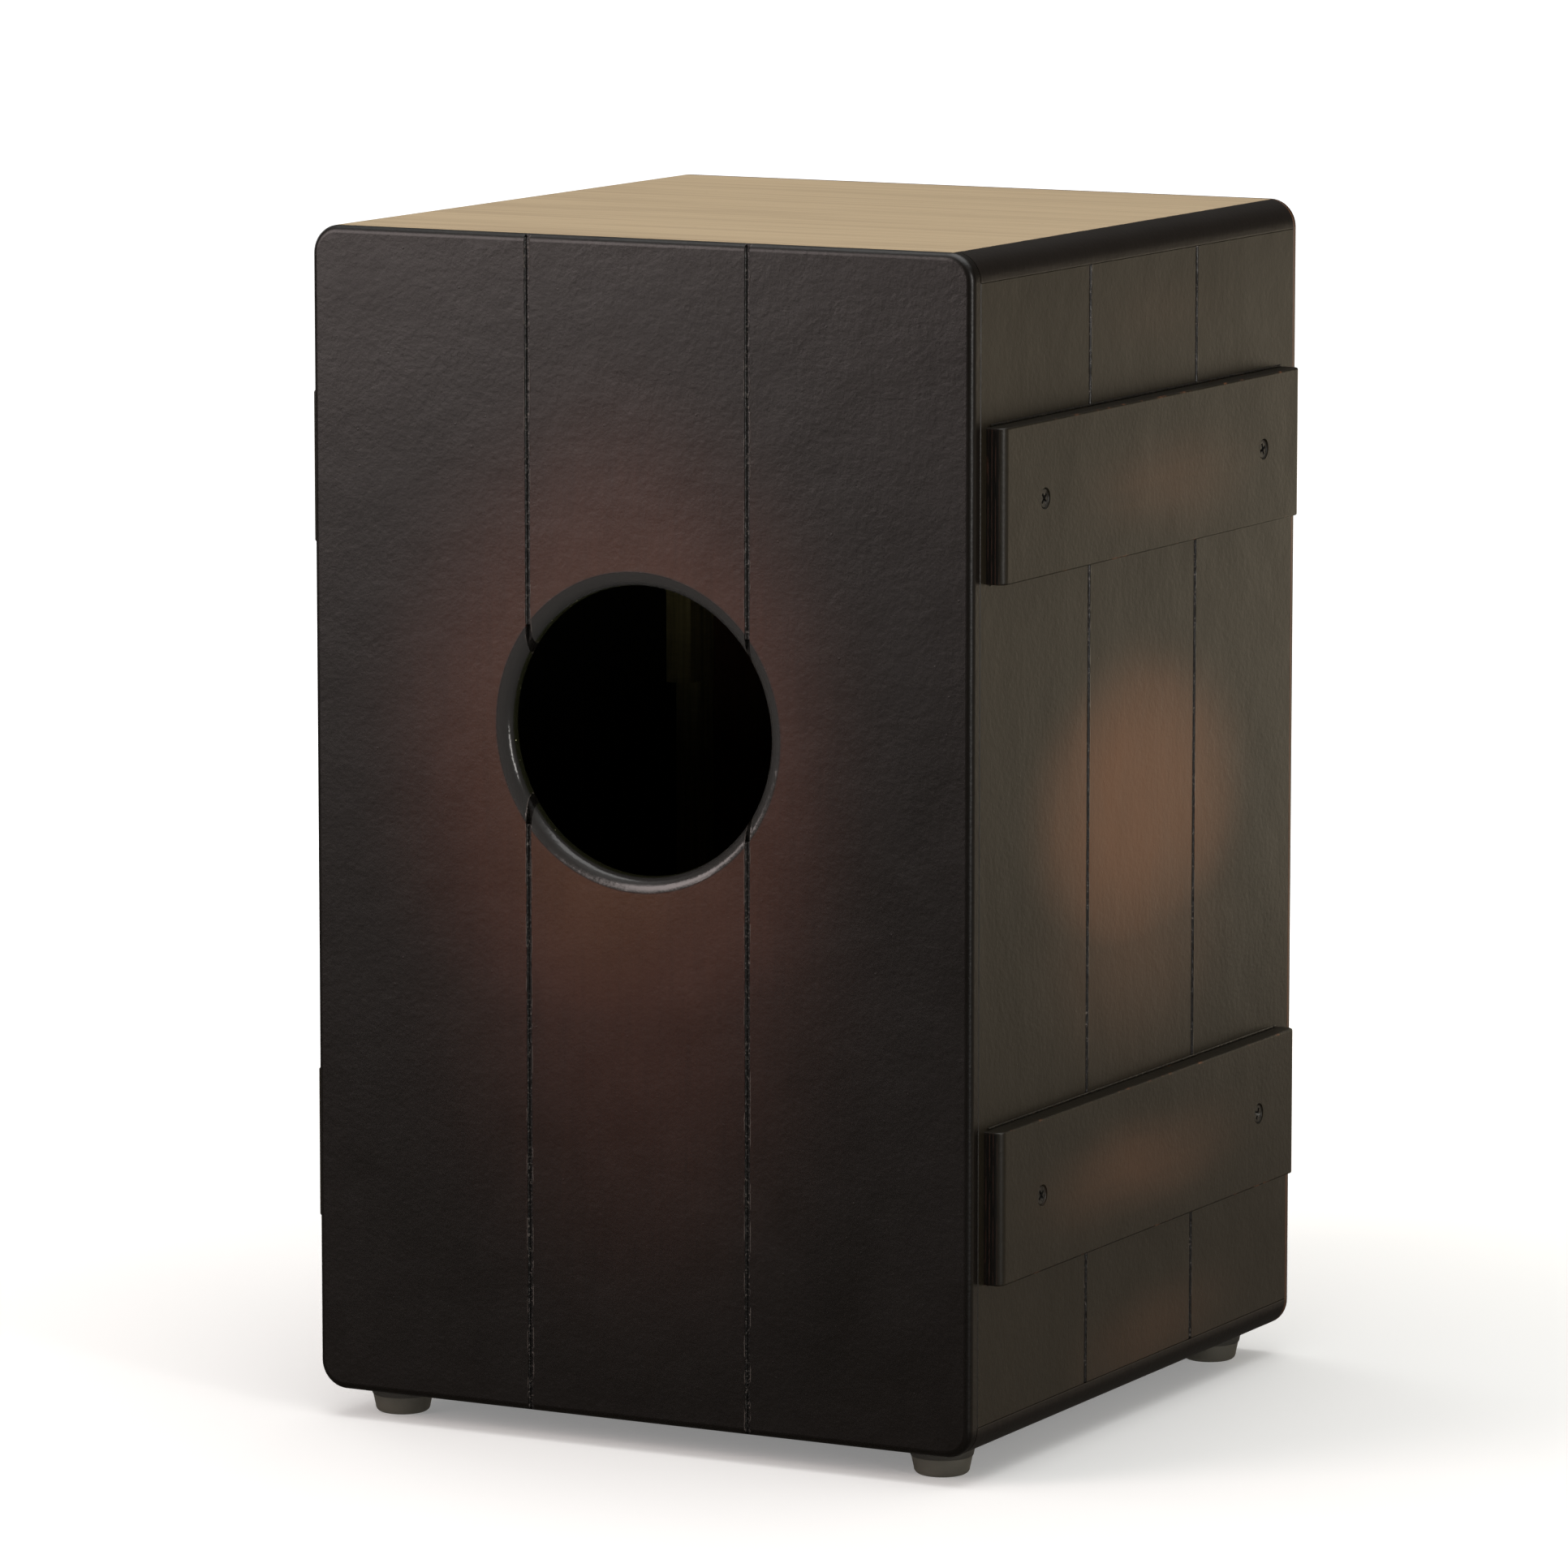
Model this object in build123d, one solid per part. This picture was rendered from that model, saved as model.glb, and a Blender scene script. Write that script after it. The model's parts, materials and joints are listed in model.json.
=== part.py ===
"""Crate-style cajon: a wooden box drum that stands on four rubber feet.

The tapa (thin playing face) looks along -Y, the back panel with its round sound
hole along +Y, and the seat along +Z. Left is -X and right is +X. The origin is
on the floor, under the middle of the drum. All sizes are in millimetres.
"""
import os

from build123d import *

# Box
body_width = 300.0
body_depth = 300.0
body_height = 480.0
corner_radius = 11.5
side_thickness = 12.0
seat_thickness = 12.0
floor_thickness = 12.0
back_thickness = 7.0
tapa_thickness = 3.0
side_edge_break = 0.3
back_seam_break = 0.6
tapa_seam_break = 0.3
back_roundover = 3.0
tapa_roundover = 1.0

# Sound hole and the plank grooves
sound_hole_diameter = 117.5
sound_hole_roundover = 6.0
sound_hole_drop = 198.0
back_groove_pitch = 100.0
back_groove_width = 2.3
back_groove_depth = 1.8
side_groove_first = 104.0
side_groove_pitch = 99.0
side_groove_width = 2.6
side_groove_depth = 1.6

# Battens across the sides
batten_height = 62.0
batten_thickness = 8.0
batten_end_inset = 12.0
batten_level_inset = 100.0
batten_end_radius = 3.5
batten_edge_radius = 0.8
batten_screw_inset = 36.0

# Glue strips inside the box
cleat_size = 12.0

# Feet
foot_height = 12.0
foot_inset = 25.0
foot_top_diameter = 27.0
foot_base_diameter = 21.5
foot_base_radius = 2.5
foot_bore_diameter = 12.0
foot_bore_depth = 6.0
washer_diameter = 11.0
washer_thickness = 1.0

# Snare holder and snares
snare_drop = 123.0
snare_bar_height = 28.0
snare_block_thickness = 9.0
snare_block_length = 110.0
snare_block_rise = 26.0
joint_plate_length = 34.0
joint_plate_height = 16.0
joint_plate_thickness = 1.5
joint_plate_margin = 1.0
wire_count = 10
wire_pitch = 6.0
wire_diameter = 2.0
wire_lean = 18.0
wire_top_gap = 14.0
wire_overrun = 3.0
tapa_touch_gap = 0.2
end_plate_height = 14.0
end_plate_thickness = 1.0
end_plate_margin = 7.0
end_strip_height = 8.0
end_strip_margin = 2.5
snare_edge_gap = 8.0
pad_width = 40.0
pad_height = 20.0
pad_thickness = 3.0
pad_gap = 8.0

# Screws: shank, head and length of each kind
screw_clearance = 0.1
batten_screw_shank = 3.8
batten_screw_head = 8.6
batten_screw_length = 17.0
batten_screw_sink = 0.5
tapa_screw_shank = 3.2
tapa_screw_head = 6.0
tapa_screw_length = 22.0
tapa_screw_sink = 0.1
tapa_screws_per_side = 5
tapa_screws_per_edge = 3
tapa_screw_end_inset = 28.0
plate_screw_shank = 2.8
plate_screw_head = 5.0
end_screw_length = 11.0
joint_screw_end_gap = 1.0
plate_screw_sink = 0.05
foot_screw_shank = 4.0
foot_screw_head = 8.0
foot_screw_head_height = 2.6
foot_screw_length = 15.5
screw_tip = 2.5
recess_width_share = 0.14
recess_length_share = 0.56
recess_depth_share = 0.2

# Derived planes of the box
body_bottom = foot_height
body_top = body_bottom + body_height
floor_z = body_bottom + floor_thickness
ceiling_z = body_top - seat_thickness
inner_height = ceiling_z - floor_z
inner_mid_z = (ceiling_z + floor_z) / 2
side_outer_x = body_width / 2
side_inner_x = side_outer_x - side_thickness
cleat_inner_x = side_inner_x - cleat_size
back_outer_y = body_depth / 2
back_inner_y = back_outer_y - back_thickness
tapa_outer_y = -body_depth / 2
tapa_inner_y = tapa_outer_y + tapa_thickness
shell_depth = back_inner_y - tapa_inner_y
shell_mid_y = (back_inner_y + tapa_inner_y) / 2
body_mid_z = (body_bottom + body_top) / 2

# Derived places of the fittings
sound_hole_z = body_top - sound_hole_drop
batten_outer_x = side_outer_x + batten_thickness
batten_length = body_depth - 2 * batten_end_inset
batten_levels = {
    "upper": body_top - batten_level_inset,
    "lower": body_bottom + batten_level_inset,
}
batten_screw_reach = batten_length / 2 - batten_screw_inset
foot_x = side_outer_x - foot_inset
foot_y = body_depth / 2 - foot_inset
snare_z = ceiling_z - snare_drop
snare_stack = end_plate_thickness + wire_diameter + tapa_touch_gap
bar_front_y = tapa_inner_y + snare_stack
block_front_y = tapa_inner_y + cleat_size
block_rear_y = block_front_y + snare_block_thickness
plate_front_y = bar_front_y - end_plate_thickness
wire_y = plate_front_y - wire_diameter / 2
fan_width = (wire_count - 1) * wire_pitch
end_plate_width = fan_width + 2 * end_plate_margin
end_plate_top = snare_z + snare_bar_height / 2
wire_bottom_z = end_plate_top - wire_overrun
wire_top_z = ceiling_z - cleat_size - wire_top_gap
snare_x = cleat_inner_x - snare_edge_gap - wire_lean - end_plate_width / 2
joint_screw_block_x = side_inner_x - cleat_size / 2
joint_plate_outer_x = side_inner_x - joint_plate_margin
joint_screw_length = joint_plate_thickness + snare_block_thickness - joint_screw_end_gap
joint_screw_bar_x = joint_plate_outer_x - joint_plate_length + cleat_size / 2

SIDES = {"left": -1, "right": 1}
ENDS = {"front": -1, "back": 1}


def box_between(x_pair, y_pair, z_pair):
    """Solid box between two values on each axis."""
    size = [abs(pair[1] - pair[0]) for pair in (x_pair, y_pair, z_pair)]
    middle = [(pair[0] + pair[1]) / 2 for pair in (x_pair, y_pair, z_pair)]
    return Pos(*middle) * Box(*size)


def aimed(solid, origin, outward):
    """Place a solid made on the Z axis so that its +Z points outward."""
    return Plane(origin=origin, z_dir=outward).location * solid


def countersunk_screw(shank, head, length):
    """Cross-head screw with its flat head top at z = 0 and its tip below."""
    head_height = (head - shank) / 2
    cone = Pos(0, 0, -head_height / 2) * Cone(shank / 2, head / 2, head_height)
    straight = length - screw_tip
    rod = Pos(0, 0, -straight / 2) * Cylinder(shank / 2, straight)
    tip = Pos(0, 0, -straight - screw_tip / 2) * Cone(shank / 10, shank / 2, screw_tip)
    return (cone + rod + tip) - cross_recess(head)


def pan_screw(shank, head, head_height, length):
    """Cross-head screw with a domed head that sits above z = 0."""
    dome = Pos(0, 0, head_height / 2) * Cylinder(head / 2, head_height)
    dome = fillet(dome.edges().group_by(Axis.Z)[-1], head_height * 0.6)
    straight = length - screw_tip
    rod = Pos(0, 0, -straight / 2) * Cylinder(shank / 2, straight)
    tip = Pos(0, 0, -straight - screw_tip / 2) * Cone(shank / 10, shank / 2, screw_tip)
    return (dome + rod + tip) - Pos(0, 0, head_height) * cross_recess(head)


def cross_recess(head):
    """Cross-shaped driver recess that is cut down from z = 0."""
    depth = head * recess_depth_share
    arm = Box(head * recess_length_share, head * recess_width_share, 2 * depth)
    return arm + Rot(0, 0, 90) * arm


def countersunk_hole(shank, head, sink, length):
    """Cutter for a countersunk screw whose head top lies sink below z = 0."""
    gap = screw_clearance
    cone_height = (head - shank) / 2
    mouth = Pos(0, 0, -sink / 2 + 0.5) * Cylinder(head / 2 + gap, sink + 1.0)
    cone = Pos(0, 0, -sink - cone_height / 2) * Cone(shank / 2 + gap, head / 2 + gap, cone_height)
    drill = Pos(0, 0, -(sink + length) / 2) * Cylinder(shank / 2 + gap, sink + length)
    return mouth + cone + drill


def slab(thickness, z_mid, rounded_group):
    """Horizontal panel as wide as the body, with its two outer long edges rounded."""
    panel = Pos(0, shell_mid_y, z_mid) * Box(body_width, shell_depth, thickness)
    long_edges = panel.edges().filter_by(Axis.Y).group_by(Axis.Z)[rounded_group]
    return fillet(long_edges, corner_radius)


def tapa_screw_sites():
    """Points on the tapa face where screws go into the four panel edges."""
    sites = []
    edge_x = side_outer_x - side_thickness / 2
    span_z = inner_height - 2 * tapa_screw_end_inset
    for step in range(tapa_screws_per_side):
        z = floor_z + tapa_screw_end_inset + span_z * step / (tapa_screws_per_side - 1)
        sites += [(-edge_x, z), (edge_x, z)]
    span_x = body_width - 2 * (side_thickness + tapa_screw_end_inset)
    for step in range(tapa_screws_per_edge):
        x = -span_x / 2 + span_x * step / (tapa_screws_per_edge - 1)
        sites.append((x, body_bottom + floor_thickness / 2))
        sites.append((x, body_top - seat_thickness / 2))
    return sites


def drilled_for_tapa(panel):
    """Cut the tapa screw holes out of a panel."""
    for x, z in tapa_screw_sites():
        cutter = countersunk_hole(
            tapa_screw_shank, tapa_screw_head, tapa_screw_sink, tapa_screw_length
        )
        panel -= aimed(cutter, (x, tapa_outer_y, z), (0, -1, 0))
    return panel


def batten_screw_sites(level):
    """Two points along a batten where its screws stand, as (y, z)."""
    return [(end * batten_screw_reach, batten_levels[level]) for end in ENDS.values()]


def foot_sites():
    """Name and place of each foot."""
    return {
        f"{end}_{side}": (SIDES[side] * foot_x, ENDS[end] * foot_y)
        for end in ENDS
        for side in SIDES
    }


def top_panel():
    """Seat of the drum."""
    return drilled_for_tapa(slab(seat_thickness, body_top - seat_thickness / 2, -1))


def bottom_panel():
    """Floor of the drum, with a blind hole for each foot screw."""
    panel = drilled_for_tapa(slab(floor_thickness, body_bottom + floor_thickness / 2, 0))
    reach = foot_screw_length - (foot_height - foot_bore_depth) - washer_thickness
    hole = Cylinder(foot_screw_shank / 2 + screw_clearance, 2 * reach + 1.0)
    for x, y in foot_sites().values():
        panel -= Pos(x, y, body_bottom) * hole
    return panel


def side_panel(side):
    """Upright side with two plank grooves and the pilot holes of its battens."""
    sign = SIDES[side]
    inner = sign * side_inner_x
    outer = sign * side_outer_x
    panel = box_between((inner, outer), (tapa_inner_y, back_inner_y), (floor_z, ceiling_z))
    panel = chamfer(panel.faces().sort_by(Axis.X)[-1 if sign > 0 else 0].edges(), side_edge_break)
    for index in range(2):
        y = back_outer_y - side_groove_first - index * side_groove_pitch
        groove = Box(2 * side_groove_depth, side_groove_width, inner_height + 1.0)
        panel -= Pos(outer, y, inner_mid_z) * groove
    pilot_depth = batten_screw_length + batten_screw_sink - batten_thickness
    pilot = Cylinder(batten_screw_shank / 2 + screw_clearance, 2 * pilot_depth + 1.0)
    for level in batten_levels:
        for y, z in batten_screw_sites(level):
            panel -= aimed(pilot, (outer, y, z), (sign, 0, 0))
    return drilled_for_tapa(panel)


def face_board(thickness, y_mid):
    """Upright board with the outline of the whole body."""
    board = Pos(0, y_mid, body_mid_z) * Box(body_width, thickness, body_height)
    return fillet(board.edges().filter_by(Axis.Y), corner_radius)


def back_panel():
    """Back board with the rounded-over sound hole and two full-height grooves."""
    board = face_board(back_thickness, (back_outer_y + back_inner_y) / 2)
    board = fillet(board.faces().sort_by(Axis.Y)[-1].edges(), back_roundover)
    board = chamfer(board.faces().sort_by(Axis.Y)[0].edges(), back_seam_break)
    hole = Cylinder(sound_hole_diameter / 2, 3 * back_thickness)
    board -= aimed(hole, (0, back_outer_y, sound_hole_z), (0, 1, 0))
    rim = board.edges().filter_by(GeomType.CIRCLE)
    rim = rim.filter_by(lambda edge: abs(edge.radius - sound_hole_diameter / 2) < 0.01)
    board = fillet(rim.sort_by(Axis.Y)[-1], sound_hole_roundover)
    for sign in (-1, 1):
        groove = Box(back_groove_width, 2 * back_groove_depth, body_height + 1.0)
        board -= Pos(sign * back_groove_pitch / 2, back_outer_y, body_mid_z) * groove
    return board


def tapa():
    """Thin playing face, screwed to the edges of the box."""
    board = face_board(tapa_thickness, (tapa_outer_y + tapa_inner_y) / 2)
    board = fillet(board.faces().sort_by(Axis.Y)[0].edges(), tapa_roundover)
    board = chamfer(board.faces().sort_by(Axis.Y)[-1].edges(), tapa_seam_break)
    return drilled_for_tapa(board)


def batten(side, level):
    """Flat board across a side, with rounded ends and two countersunk holes."""
    sign = SIDES[side]
    z_mid = batten_levels[level]
    board = box_between(
        (sign * side_outer_x, sign * batten_outer_x),
        (-batten_length / 2, batten_length / 2),
        (z_mid - batten_height / 2, z_mid + batten_height / 2),
    )
    outer_face = board.faces().sort_by(Axis.X)[-1 if sign > 0 else 0]
    board = fillet(outer_face.edges().filter_by(Axis.Z), batten_end_radius)
    outer_face = board.faces().sort_by(Axis.X)[-1 if sign > 0 else 0]
    board = fillet(outer_face.edges().filter_by(Axis.Y), batten_edge_radius)
    cutter = countersunk_hole(
        batten_screw_shank, batten_screw_head, batten_screw_sink, batten_screw_length
    )
    for y, z in batten_screw_sites(level):
        board -= aimed(cutter, (sign * batten_outer_x, y, z), (sign, 0, 0))
    return board


def batten_screws(side, level):
    """The two screws of one batten."""
    sign = SIDES[side]
    x = sign * (batten_outer_x - batten_screw_sink)
    screw = countersunk_screw(batten_screw_shank, batten_screw_head, batten_screw_length)
    return [aimed(screw, (x, y, z), (sign, 0, 0)) for y, z in batten_screw_sites(level)]


def tapa_screws():
    """All screws of the playing face."""
    screw = countersunk_screw(tapa_screw_shank, tapa_screw_head, tapa_screw_length)
    y = tapa_outer_y + tapa_screw_sink
    return [aimed(screw, (x, y, z), (0, -1, 0)) for x, z in tapa_screw_sites()]


def foot(x, y):
    """Tapered rubber foot with a rolled base and a bore for its screw."""
    rubber = Pos(0, 0, foot_height / 2) * Cone(
        foot_base_diameter / 2, foot_top_diameter / 2, foot_height
    )
    rubber = fillet(rubber.edges().group_by(Axis.Z)[0], foot_base_radius)
    rubber -= Pos(0, 0, foot_bore_depth / 2) * Cylinder(foot_bore_diameter / 2, foot_bore_depth)
    rubber -= Pos(0, 0, foot_height / 2) * Cylinder(
        foot_screw_shank / 2 + screw_clearance, foot_height
    )
    return Pos(x, y, 0) * rubber


def foot_washers():
    """Steel washers at the top of the foot bores."""
    ring = Cylinder(washer_diameter / 2, washer_thickness)
    ring -= Cylinder(foot_screw_shank / 2 + screw_clearance, washer_thickness)
    z = foot_bore_depth - washer_thickness / 2
    return [Pos(x, y, z) * ring for x, y in foot_sites().values()]


def foot_screws():
    """Screws that hold the feet, with their heads under the washers."""
    screw = pan_screw(
        foot_screw_shank, foot_screw_head, foot_screw_head_height, foot_screw_length
    )
    z = foot_bore_depth - washer_thickness
    return [aimed(screw, (x, y, z), (0, 0, -1)) for x, y in foot_sites().values()]


def upright_cleat(side, end):
    """Full-height glue strip in one upright corner of the box."""
    sign = SIDES[side]
    wall_y = tapa_inner_y if end == "front" else back_inner_y
    strip_y = wall_y - ENDS[end] * cleat_size
    return box_between(
        (sign * cleat_inner_x, sign * side_inner_x), (wall_y, strip_y), (floor_z, ceiling_z)
    )


def cross_cleat(end, level):
    """Level glue strip between two upright ones."""
    wall_y = tapa_inner_y if end == "front" else back_inner_y
    strip_y = wall_y - ENDS[end] * cleat_size
    wall_z = floor_z if level == "bottom" else ceiling_z
    strip_z = wall_z + (cleat_size if level == "bottom" else -cleat_size)
    return box_between((-cleat_inner_x, cleat_inner_x), (wall_y, strip_y), (wall_z, strip_z))


def snare_block(side):
    """Block on the rear of a front cleat that thickens it for the snare bar."""
    sign = SIDES[side]
    top = snare_z + snare_block_rise
    block = box_between(
        (sign * cleat_inner_x, sign * side_inner_x),
        (block_front_y, block_rear_y),
        (top - snare_block_length, top),
    )
    return block - joint_screw_cutters(side)


def joint_screw_sites(side):
    """Centres of the two screws of a joint plate, as (x, z)."""
    sign = SIDES[side]
    return [(sign * joint_screw_block_x, snare_z), (sign * joint_screw_bar_x, snare_z)]


def joint_screw_cutters(side):
    """Both screw holes of one joint plate."""
    cutter = countersunk_hole(
        plate_screw_shank, plate_screw_head, plate_screw_sink, joint_screw_length
    )
    y = block_rear_y + joint_plate_thickness
    holes = [aimed(cutter, (x, y, z), (0, 1, 0)) for x, z in joint_screw_sites(side)]
    return holes[0] + holes[1]


def end_plate_screw_sites(side):
    """Centres of the two screws of a snare end plate, as (x, z)."""
    reach = end_plate_width / 2 - end_plate_margin / 2
    z = end_plate_top - end_plate_height / 2
    return [(SIDES[side] * snare_x + end * reach, z) for end in (-1, 1)]


def end_plate_cutters(side):
    """Both screw holes of one snare end plate."""
    cutter = countersunk_hole(
        plate_screw_shank, plate_screw_head, plate_screw_sink, end_screw_length
    )
    holes = [
        aimed(cutter, (x, plate_front_y, z), (0, -1, 0)) for x, z in end_plate_screw_sites(side)
    ]
    return holes[0] + holes[1]


def snare_bar():
    """Cross bar that carries both snare sets just behind the tapa."""
    half = snare_bar_height / 2
    bar = box_between(
        (-cleat_inner_x, cleat_inner_x),
        (bar_front_y, block_rear_y),
        (snare_z - half, snare_z + half),
    )
    for side in SIDES:
        bar = bar - joint_screw_cutters(side) - end_plate_cutters(side)
    return bar


def joint_plate(side):
    """Flat steel plate across the joint of the bar and its block."""
    sign = SIDES[side]
    half = joint_plate_height / 2
    inner_x = joint_plate_outer_x - joint_plate_length
    plate = box_between(
        (sign * inner_x, sign * joint_plate_outer_x),
        (block_rear_y, block_rear_y + joint_plate_thickness),
        (snare_z - half, snare_z + half),
    )
    plate = fillet(plate.edges().filter_by(Axis.Y), 3.0)
    return plate - joint_screw_cutters(side)


def joint_screws():
    """Screws of both joint plates."""
    screw = countersunk_screw(plate_screw_shank, plate_screw_head, joint_screw_length)
    y = block_rear_y + joint_plate_thickness - plate_screw_sink
    return [
        aimed(screw, (x, y, z), (0, 1, 0)) for side in SIDES for x, z in joint_screw_sites(side)
    ]


def end_plate(side):
    """Steel plate that holds one snare set on the bar."""
    x = SIDES[side] * snare_x
    half = end_plate_width / 2
    plate = box_between(
        (x - half, x + half),
        (plate_front_y, bar_front_y),
        (end_plate_top - end_plate_height, end_plate_top),
    )
    return plate - end_plate_cutters(side)


def end_plate_screws():
    """Screws of both snare end plates."""
    screw = countersunk_screw(plate_screw_shank, plate_screw_head, end_screw_length)
    y = plate_front_y + plate_screw_sink
    return [
        aimed(screw, (x, y, z), (0, -1, 0))
        for side in SIDES
        for x, z in end_plate_screw_sites(side)
    ]


def snare_wires(side):
    """One fan of snare wires that leans outward as it rises along the tapa."""
    sign = SIDES[side]
    rods = []
    for index in range(wire_count):
        x = sign * snare_x - fan_width / 2 + index * wire_pitch
        foot_point = Vector(x, wire_y, wire_bottom_z)
        top_point = Vector(x + sign * wire_lean, wire_y, wire_top_z)
        run = top_point - foot_point
        rod = Pos(0, 0, run.length / 2) * Cylinder(wire_diameter / 2, run.length)
        rods.append(aimed(rod, foot_point, run))
    return rods


def end_strip(side):
    """Thin strip across the free ends of one snare fan."""
    x = SIDES[side] * (snare_x + wire_lean)
    half = fan_width / 2 + end_strip_margin
    return box_between(
        (x - half, x + half),
        (plate_front_y, bar_front_y),
        (wire_top_z - end_strip_height, wire_top_z),
    )


def damper_pad(side):
    """Felt pad on the rear of the tapa, under the snare bar."""
    x = SIDES[side] * snare_x
    top = snare_z - snare_bar_height / 2 - pad_gap
    return box_between(
        (x - pad_width / 2, x + pad_width / 2),
        (tapa_inner_y, tapa_inner_y + pad_thickness),
        (top - pad_height, top),
    )


def build_nodes():
    """Every sub-part of the drum by its node name."""
    nodes = {
        "top_panel": top_panel(),
        "bottom_panel": bottom_panel(),
        "back_panel": back_panel(),
        "tapa": tapa(),
        "tapa_screws": tapa_screws(),
        "foot_washers": foot_washers(),
        "foot_screws": foot_screws(),
        "snare_bar": snare_bar(),
        "snare_joint_screws": joint_screws(),
        "snare_plate_screws": end_plate_screws(),
    }
    for side in SIDES:
        nodes[f"side_panel_{side}"] = side_panel(side)
        nodes[f"snare_block_{side}"] = snare_block(side)
        nodes[f"snare_joint_plate_{side}"] = joint_plate(side)
        nodes[f"snare_end_plate_{side}"] = end_plate(side)
        nodes[f"snare_wires_{side}"] = snare_wires(side)
        nodes[f"snare_end_strip_{side}"] = end_strip(side)
        nodes[f"damper_pad_{side}"] = damper_pad(side)
        for level in batten_levels:
            nodes[f"batten_{side}_{level}"] = batten(side, level)
            nodes[f"batten_screws_{side}_{level}"] = batten_screws(side, level)
        for end in ENDS:
            nodes[f"cleat_{end}_{side}"] = upright_cleat(side, end)
    for end in ENDS:
        for level in ("top", "bottom"):
            nodes[f"cleat_{end}_{level}"] = cross_cleat(end, level)
    for name, (x, y) in foot_sites().items():
        nodes[f"foot_{name}"] = foot(x, y)
    return nodes


def write_nodes(nodes):
    """Write one STEP file per node."""
    os.makedirs("parts", exist_ok=True)
    for name, shape in nodes.items():
        solid = Compound(children=shape) if isinstance(shape, list) else shape
        export_step(solid, f"parts/{name}.step")


if __name__ == "__main__":
    write_nodes(build_nodes())
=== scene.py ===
"""Crate-style cajon: finishes, fine parts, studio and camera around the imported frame.

The frame holds every part at its real size, in metres: the tapa (playing face) looks
along -Y, the back panel with the sound hole along +Y and the seat along +Z.
"""
from __future__ import annotations

import json
import logging
import math
from dataclasses import dataclass, field
from enum import Enum
from typing import Any, Callable, Iterable, Sequence

import bmesh
import bpy
import numpy as np
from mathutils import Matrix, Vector

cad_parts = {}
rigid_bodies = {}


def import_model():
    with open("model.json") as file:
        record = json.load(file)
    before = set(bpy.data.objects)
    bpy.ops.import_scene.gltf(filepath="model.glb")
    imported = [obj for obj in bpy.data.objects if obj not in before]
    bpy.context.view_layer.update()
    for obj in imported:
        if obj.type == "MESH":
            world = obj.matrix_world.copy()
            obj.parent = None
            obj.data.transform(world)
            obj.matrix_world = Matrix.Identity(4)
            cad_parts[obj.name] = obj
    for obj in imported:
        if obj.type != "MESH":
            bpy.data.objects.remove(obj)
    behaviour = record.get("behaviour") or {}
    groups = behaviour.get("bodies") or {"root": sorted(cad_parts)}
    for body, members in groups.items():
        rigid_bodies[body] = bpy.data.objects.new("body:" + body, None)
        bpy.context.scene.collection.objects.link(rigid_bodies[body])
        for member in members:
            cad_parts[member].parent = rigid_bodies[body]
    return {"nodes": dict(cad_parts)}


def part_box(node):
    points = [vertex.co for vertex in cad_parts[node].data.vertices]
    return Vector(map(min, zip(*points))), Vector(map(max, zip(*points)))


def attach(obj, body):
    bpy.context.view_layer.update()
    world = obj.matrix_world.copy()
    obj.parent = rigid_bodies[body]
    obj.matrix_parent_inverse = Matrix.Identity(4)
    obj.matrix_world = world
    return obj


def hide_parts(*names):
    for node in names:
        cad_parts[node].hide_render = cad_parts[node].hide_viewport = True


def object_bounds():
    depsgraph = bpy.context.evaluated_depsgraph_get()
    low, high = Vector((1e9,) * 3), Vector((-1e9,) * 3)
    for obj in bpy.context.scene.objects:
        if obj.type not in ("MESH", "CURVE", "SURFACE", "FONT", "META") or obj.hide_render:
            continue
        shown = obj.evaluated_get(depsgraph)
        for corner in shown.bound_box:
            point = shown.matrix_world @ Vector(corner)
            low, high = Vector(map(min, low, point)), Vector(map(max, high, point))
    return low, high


LOG = logging.getLogger("cajon")
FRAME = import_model()
CAD_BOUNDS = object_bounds()
MM = 0.001

Triple = tuple[float, float, float]
Socket = bpy.types.NodeSocket

# Near-black colour of the inner faces of the boards and of the sound hole's bore.
INTERIOR_NEAR_BLACK: Triple = (0.010, 0.0105, 0.005)


class Axis(Enum):
    """A frame axis, used for grain, outlines and the way a screw faces."""

    X = 0
    Y = 1
    Z = 2


class Facing(Enum):
    """Direction in which a screw head looks."""

    LEFT = (-1.0, 0.0, 0.0)
    RIGHT = (1.0, 0.0, 0.0)
    FRONT = (0.0, -1.0, 0.0)
    BACK = (0.0, 1.0, 0.0)
    DOWN = (0.0, 0.0, -1.0)

    @property
    def vector(self) -> Vector:
        """Unit vector of the direction."""
        return Vector(self.value)


class HeadForm(Enum):
    """Shape of a screw head."""

    COUNTERSUNK = "countersunk"
    PAN = "pan"


# --------------------------------------------------------------------------- shader nodes


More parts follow.
